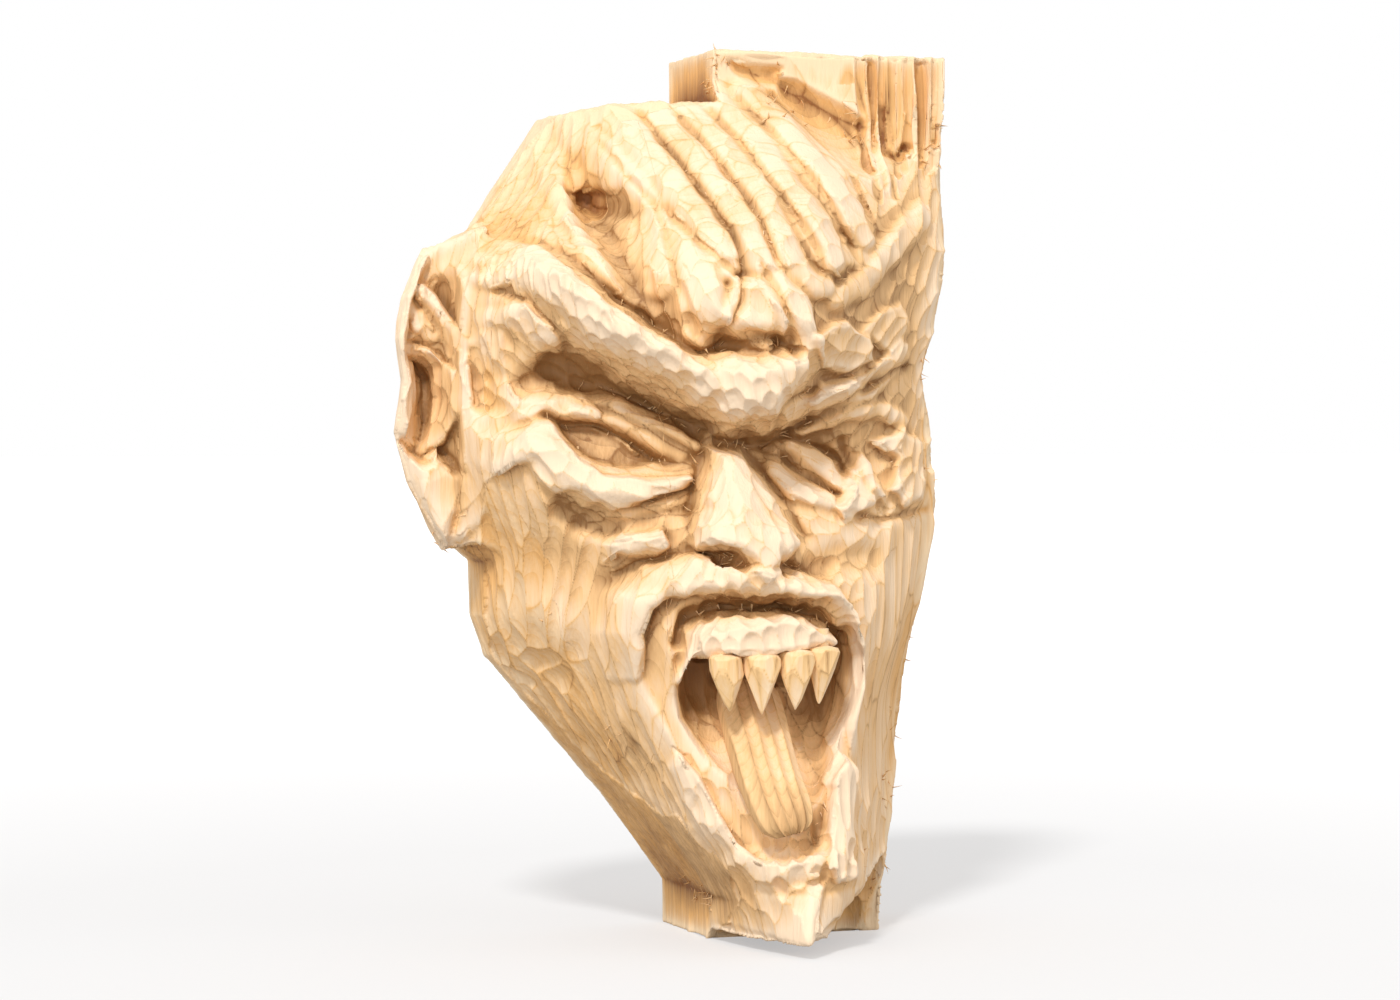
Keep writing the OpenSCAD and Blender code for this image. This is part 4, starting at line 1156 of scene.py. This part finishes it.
def tongue(steps=80, around=192, flutes=5):
    """A flat tongue with gouged flutes along its upper side."""
    line = np.array(TONGUE)
    share = np.concatenate([[0], np.cumsum(np.linalg.norm(np.diff(line[:, :3], axis=0), axis=1))])
    at = np.linspace(0, share[-1], steps)
    path = spline(share, line, at)
    rings, lines = [], []
    for k in range(steps):
        ahead = path[min(k + 1, steps - 1), :3] - path[max(k - 1, 0), :3]
        ahead /= np.linalg.norm(ahead)
        side = np.cross(ahead, (0, 1, 0.35))
        side /= np.linalg.norm(side)
        if side[0] < 0:
            side = -side
        rise = np.cross(side, ahead)
        if rise[1] < 0:
            rise = -rise
        ring = []
        for i in range(around):
            a = 2 * math.pi * i / around
            c, s = math.cos(a), math.sin(a)
            u = math.copysign(abs(c) ** 0.75, c)
            v = math.copysign(abs(s) ** 0.6, s)
            wave = abs(math.sin(math.pi * flutes * (u + 1) / 2 + 0.25 * math.sin(k * 0.11)))
            above = min(1.0, max(s, 0) * 3)
            lines.append(above * math.exp(-wave / 0.16))
            ring.append(path[k, :3] + side * u * path[k, 3]
                        + rise * (v * path[k, 4] - 1.5 * above * wave - 0.9 * u * u))
        rings.append(ring)
    lines = np.array(lines + [0, 0])
    # The tongue takes a constant painted shade.
    return lofted_object("tongue_gouged", rings, {"seam": lines, "crease_shade": lines * 0 + 0.04,
                                                  "deep": lines * 0 + 0.11})


for index, where in enumerate(FANGS, 1):
    piece = fang(index, *where)
    piece.data.materials.append(ivory)
    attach(piece, "root")
    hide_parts("fang_%d" % index)
piece = tongue()
piece.data.materials.append(carved)
piece.data.polygons.foreach_set("use_smooth", [True] * len(piece.data.polygons))
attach(piece, "root")
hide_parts("tongue")

# ---------------------------------------------------------------- camera, light and floor

PHOTO_TURN = math.radians(-20)
DISTANCE = 1470
CAMERA_Z = 212
FOCAL_MM = 92.2


def add_camera():
    cam = bpy.data.objects.new("camera", bpy.data.cameras.new("camera"))
    bpy.context.scene.collection.objects.link(cam)
    bpy.context.scene.camera = cam
    cam.data.lens = FOCAL_MM
    cam.data.sensor_width = 36
    cam.data.clip_end = 50
    toward = np.array([math.sin(PHOTO_TURN), -math.cos(PHOTO_TURN), 0])
    across = np.array([math.cos(PHOTO_TURN), math.sin(PHOTO_TURN), 0])
    eyes = np.array([NOSE_X, BACK_Y - 85, 202.0])
    spot = eyes + toward * DISTANCE - across * 3.3
    spot[2] = CAMERA_Z
    cam.location = Vector(spot * MM)
    cam.rotation_euler = (math.radians(90 - 1.07), 0, PHOTO_TURN)
    return cam


add_camera()


def add_area(name, where, size, power, target=(0, 0, 0.19)):
    light = bpy.data.objects.new(name, bpy.data.lights.new(name, "AREA"))
    light.data.size = size
    light.data.energy = power
    light.location = where
    light.rotation_euler = (Vector(target) - Vector(where)).to_track_quat("-Z", "Y").to_euler()
    bpy.context.scene.collection.objects.link(light)
    return light


def add_sun(name, turn, height, strength, softness):
    """A far soft light: turn is degrees to the right of the front, height above the floor."""
    sun = bpy.data.objects.new(name, bpy.data.lights.new(name, "SUN"))
    sun.data.energy = strength
    sun.data.angle = math.radians(softness)
    sun.rotation_euler = (math.radians(90 - height), 0, math.radians(turn))
    bpy.context.scene.collection.objects.link(sun)
    return sun


add_sun("key", -34, 47, 2.0, 8)
add_area("fill", (-1.3, -1.2, 0.12), 1.0, 12.0)
add_area("side_fill", (1.5, -0.9, 0.5), 1.0, 6.0)
bpy.context.scene.view_settings.view_transform = "Standard"


def white_world(strength):
    """A white studio: full white behind the object, softer as a light."""
    world = bpy.data.worlds.new("world")
    bpy.context.scene.world = world
    world.use_nodes = True
    tree = world.node_tree
    seen = tree.nodes.new("ShaderNodeBackground")
    seen.inputs[0].default_value = (1, 1, 1, 1)
    light = tree.nodes["Background"]
    light.inputs[0].default_value = (1, 0.99, 0.98, 1)
    light.inputs[1].default_value = strength
    path = tree.nodes.new("ShaderNodeLightPath")
    mix = tree.nodes.new("ShaderNodeMixShader")
    tree.links.new(path.outputs["Is Camera Ray"], mix.inputs[0])
    tree.links.new(light.outputs[0], mix.inputs[1])
    tree.links.new(seen.outputs[0], mix.inputs[2])
    tree.links.new(mix.outputs[0], tree.nodes["World Output"].inputs[0])


white_world(0.68)

bpy.ops.mesh.primitive_plane_add(size=60)
floor = bpy.context.object
floor.name = "floor"
paper = bpy.data.materials.new("paper")
paper.use_nodes = True
tree = paper.node_tree
tree.nodes["Principled BSDF"].inputs["Base Color"].default_value = (0.4, 0.4, 0.4, 1)
tree.nodes["Principled BSDF"].inputs["Roughness"].default_value = 1.0
tree.nodes["Principled BSDF"].inputs["Emission Color"].default_value = (1, 0.99, 0.99, 1)
# The floor has painted light that only the camera sees: its glow is dimmer near the object, a painted shadow round it,
# and brighter far off.
away = tree.nodes.new("ShaderNodeVectorMath")
away.operation = "LENGTH"
tree.links.new(tree.nodes.new("ShaderNodeNewGeometry").outputs["Position"], away.inputs[0])
glow = tree.nodes.new("ShaderNodeMapRange")
tree.links.new(away.outputs["Value"], glow.inputs["Value"])
glow.inputs["From Min"].default_value = 0.35
glow.inputs["From Max"].default_value = 2.5
glow.inputs["To Min"].default_value = 0.44
glow.inputs["To Max"].default_value = 0.8
painted_floor_light = tree.nodes.new("ShaderNodeMath")
painted_floor_light.operation = "MULTIPLY"
tree.links.new(glow.outputs["Result"], painted_floor_light.inputs[1])
tree.links.new(tree.nodes.new("ShaderNodeLightPath").outputs["Is Camera Ray"], painted_floor_light.inputs[0])
tree.links.new(painted_floor_light.outputs[0], tree.nodes["Principled BSDF"].inputs["Emission Strength"])
floor.data.materials.append(paper)
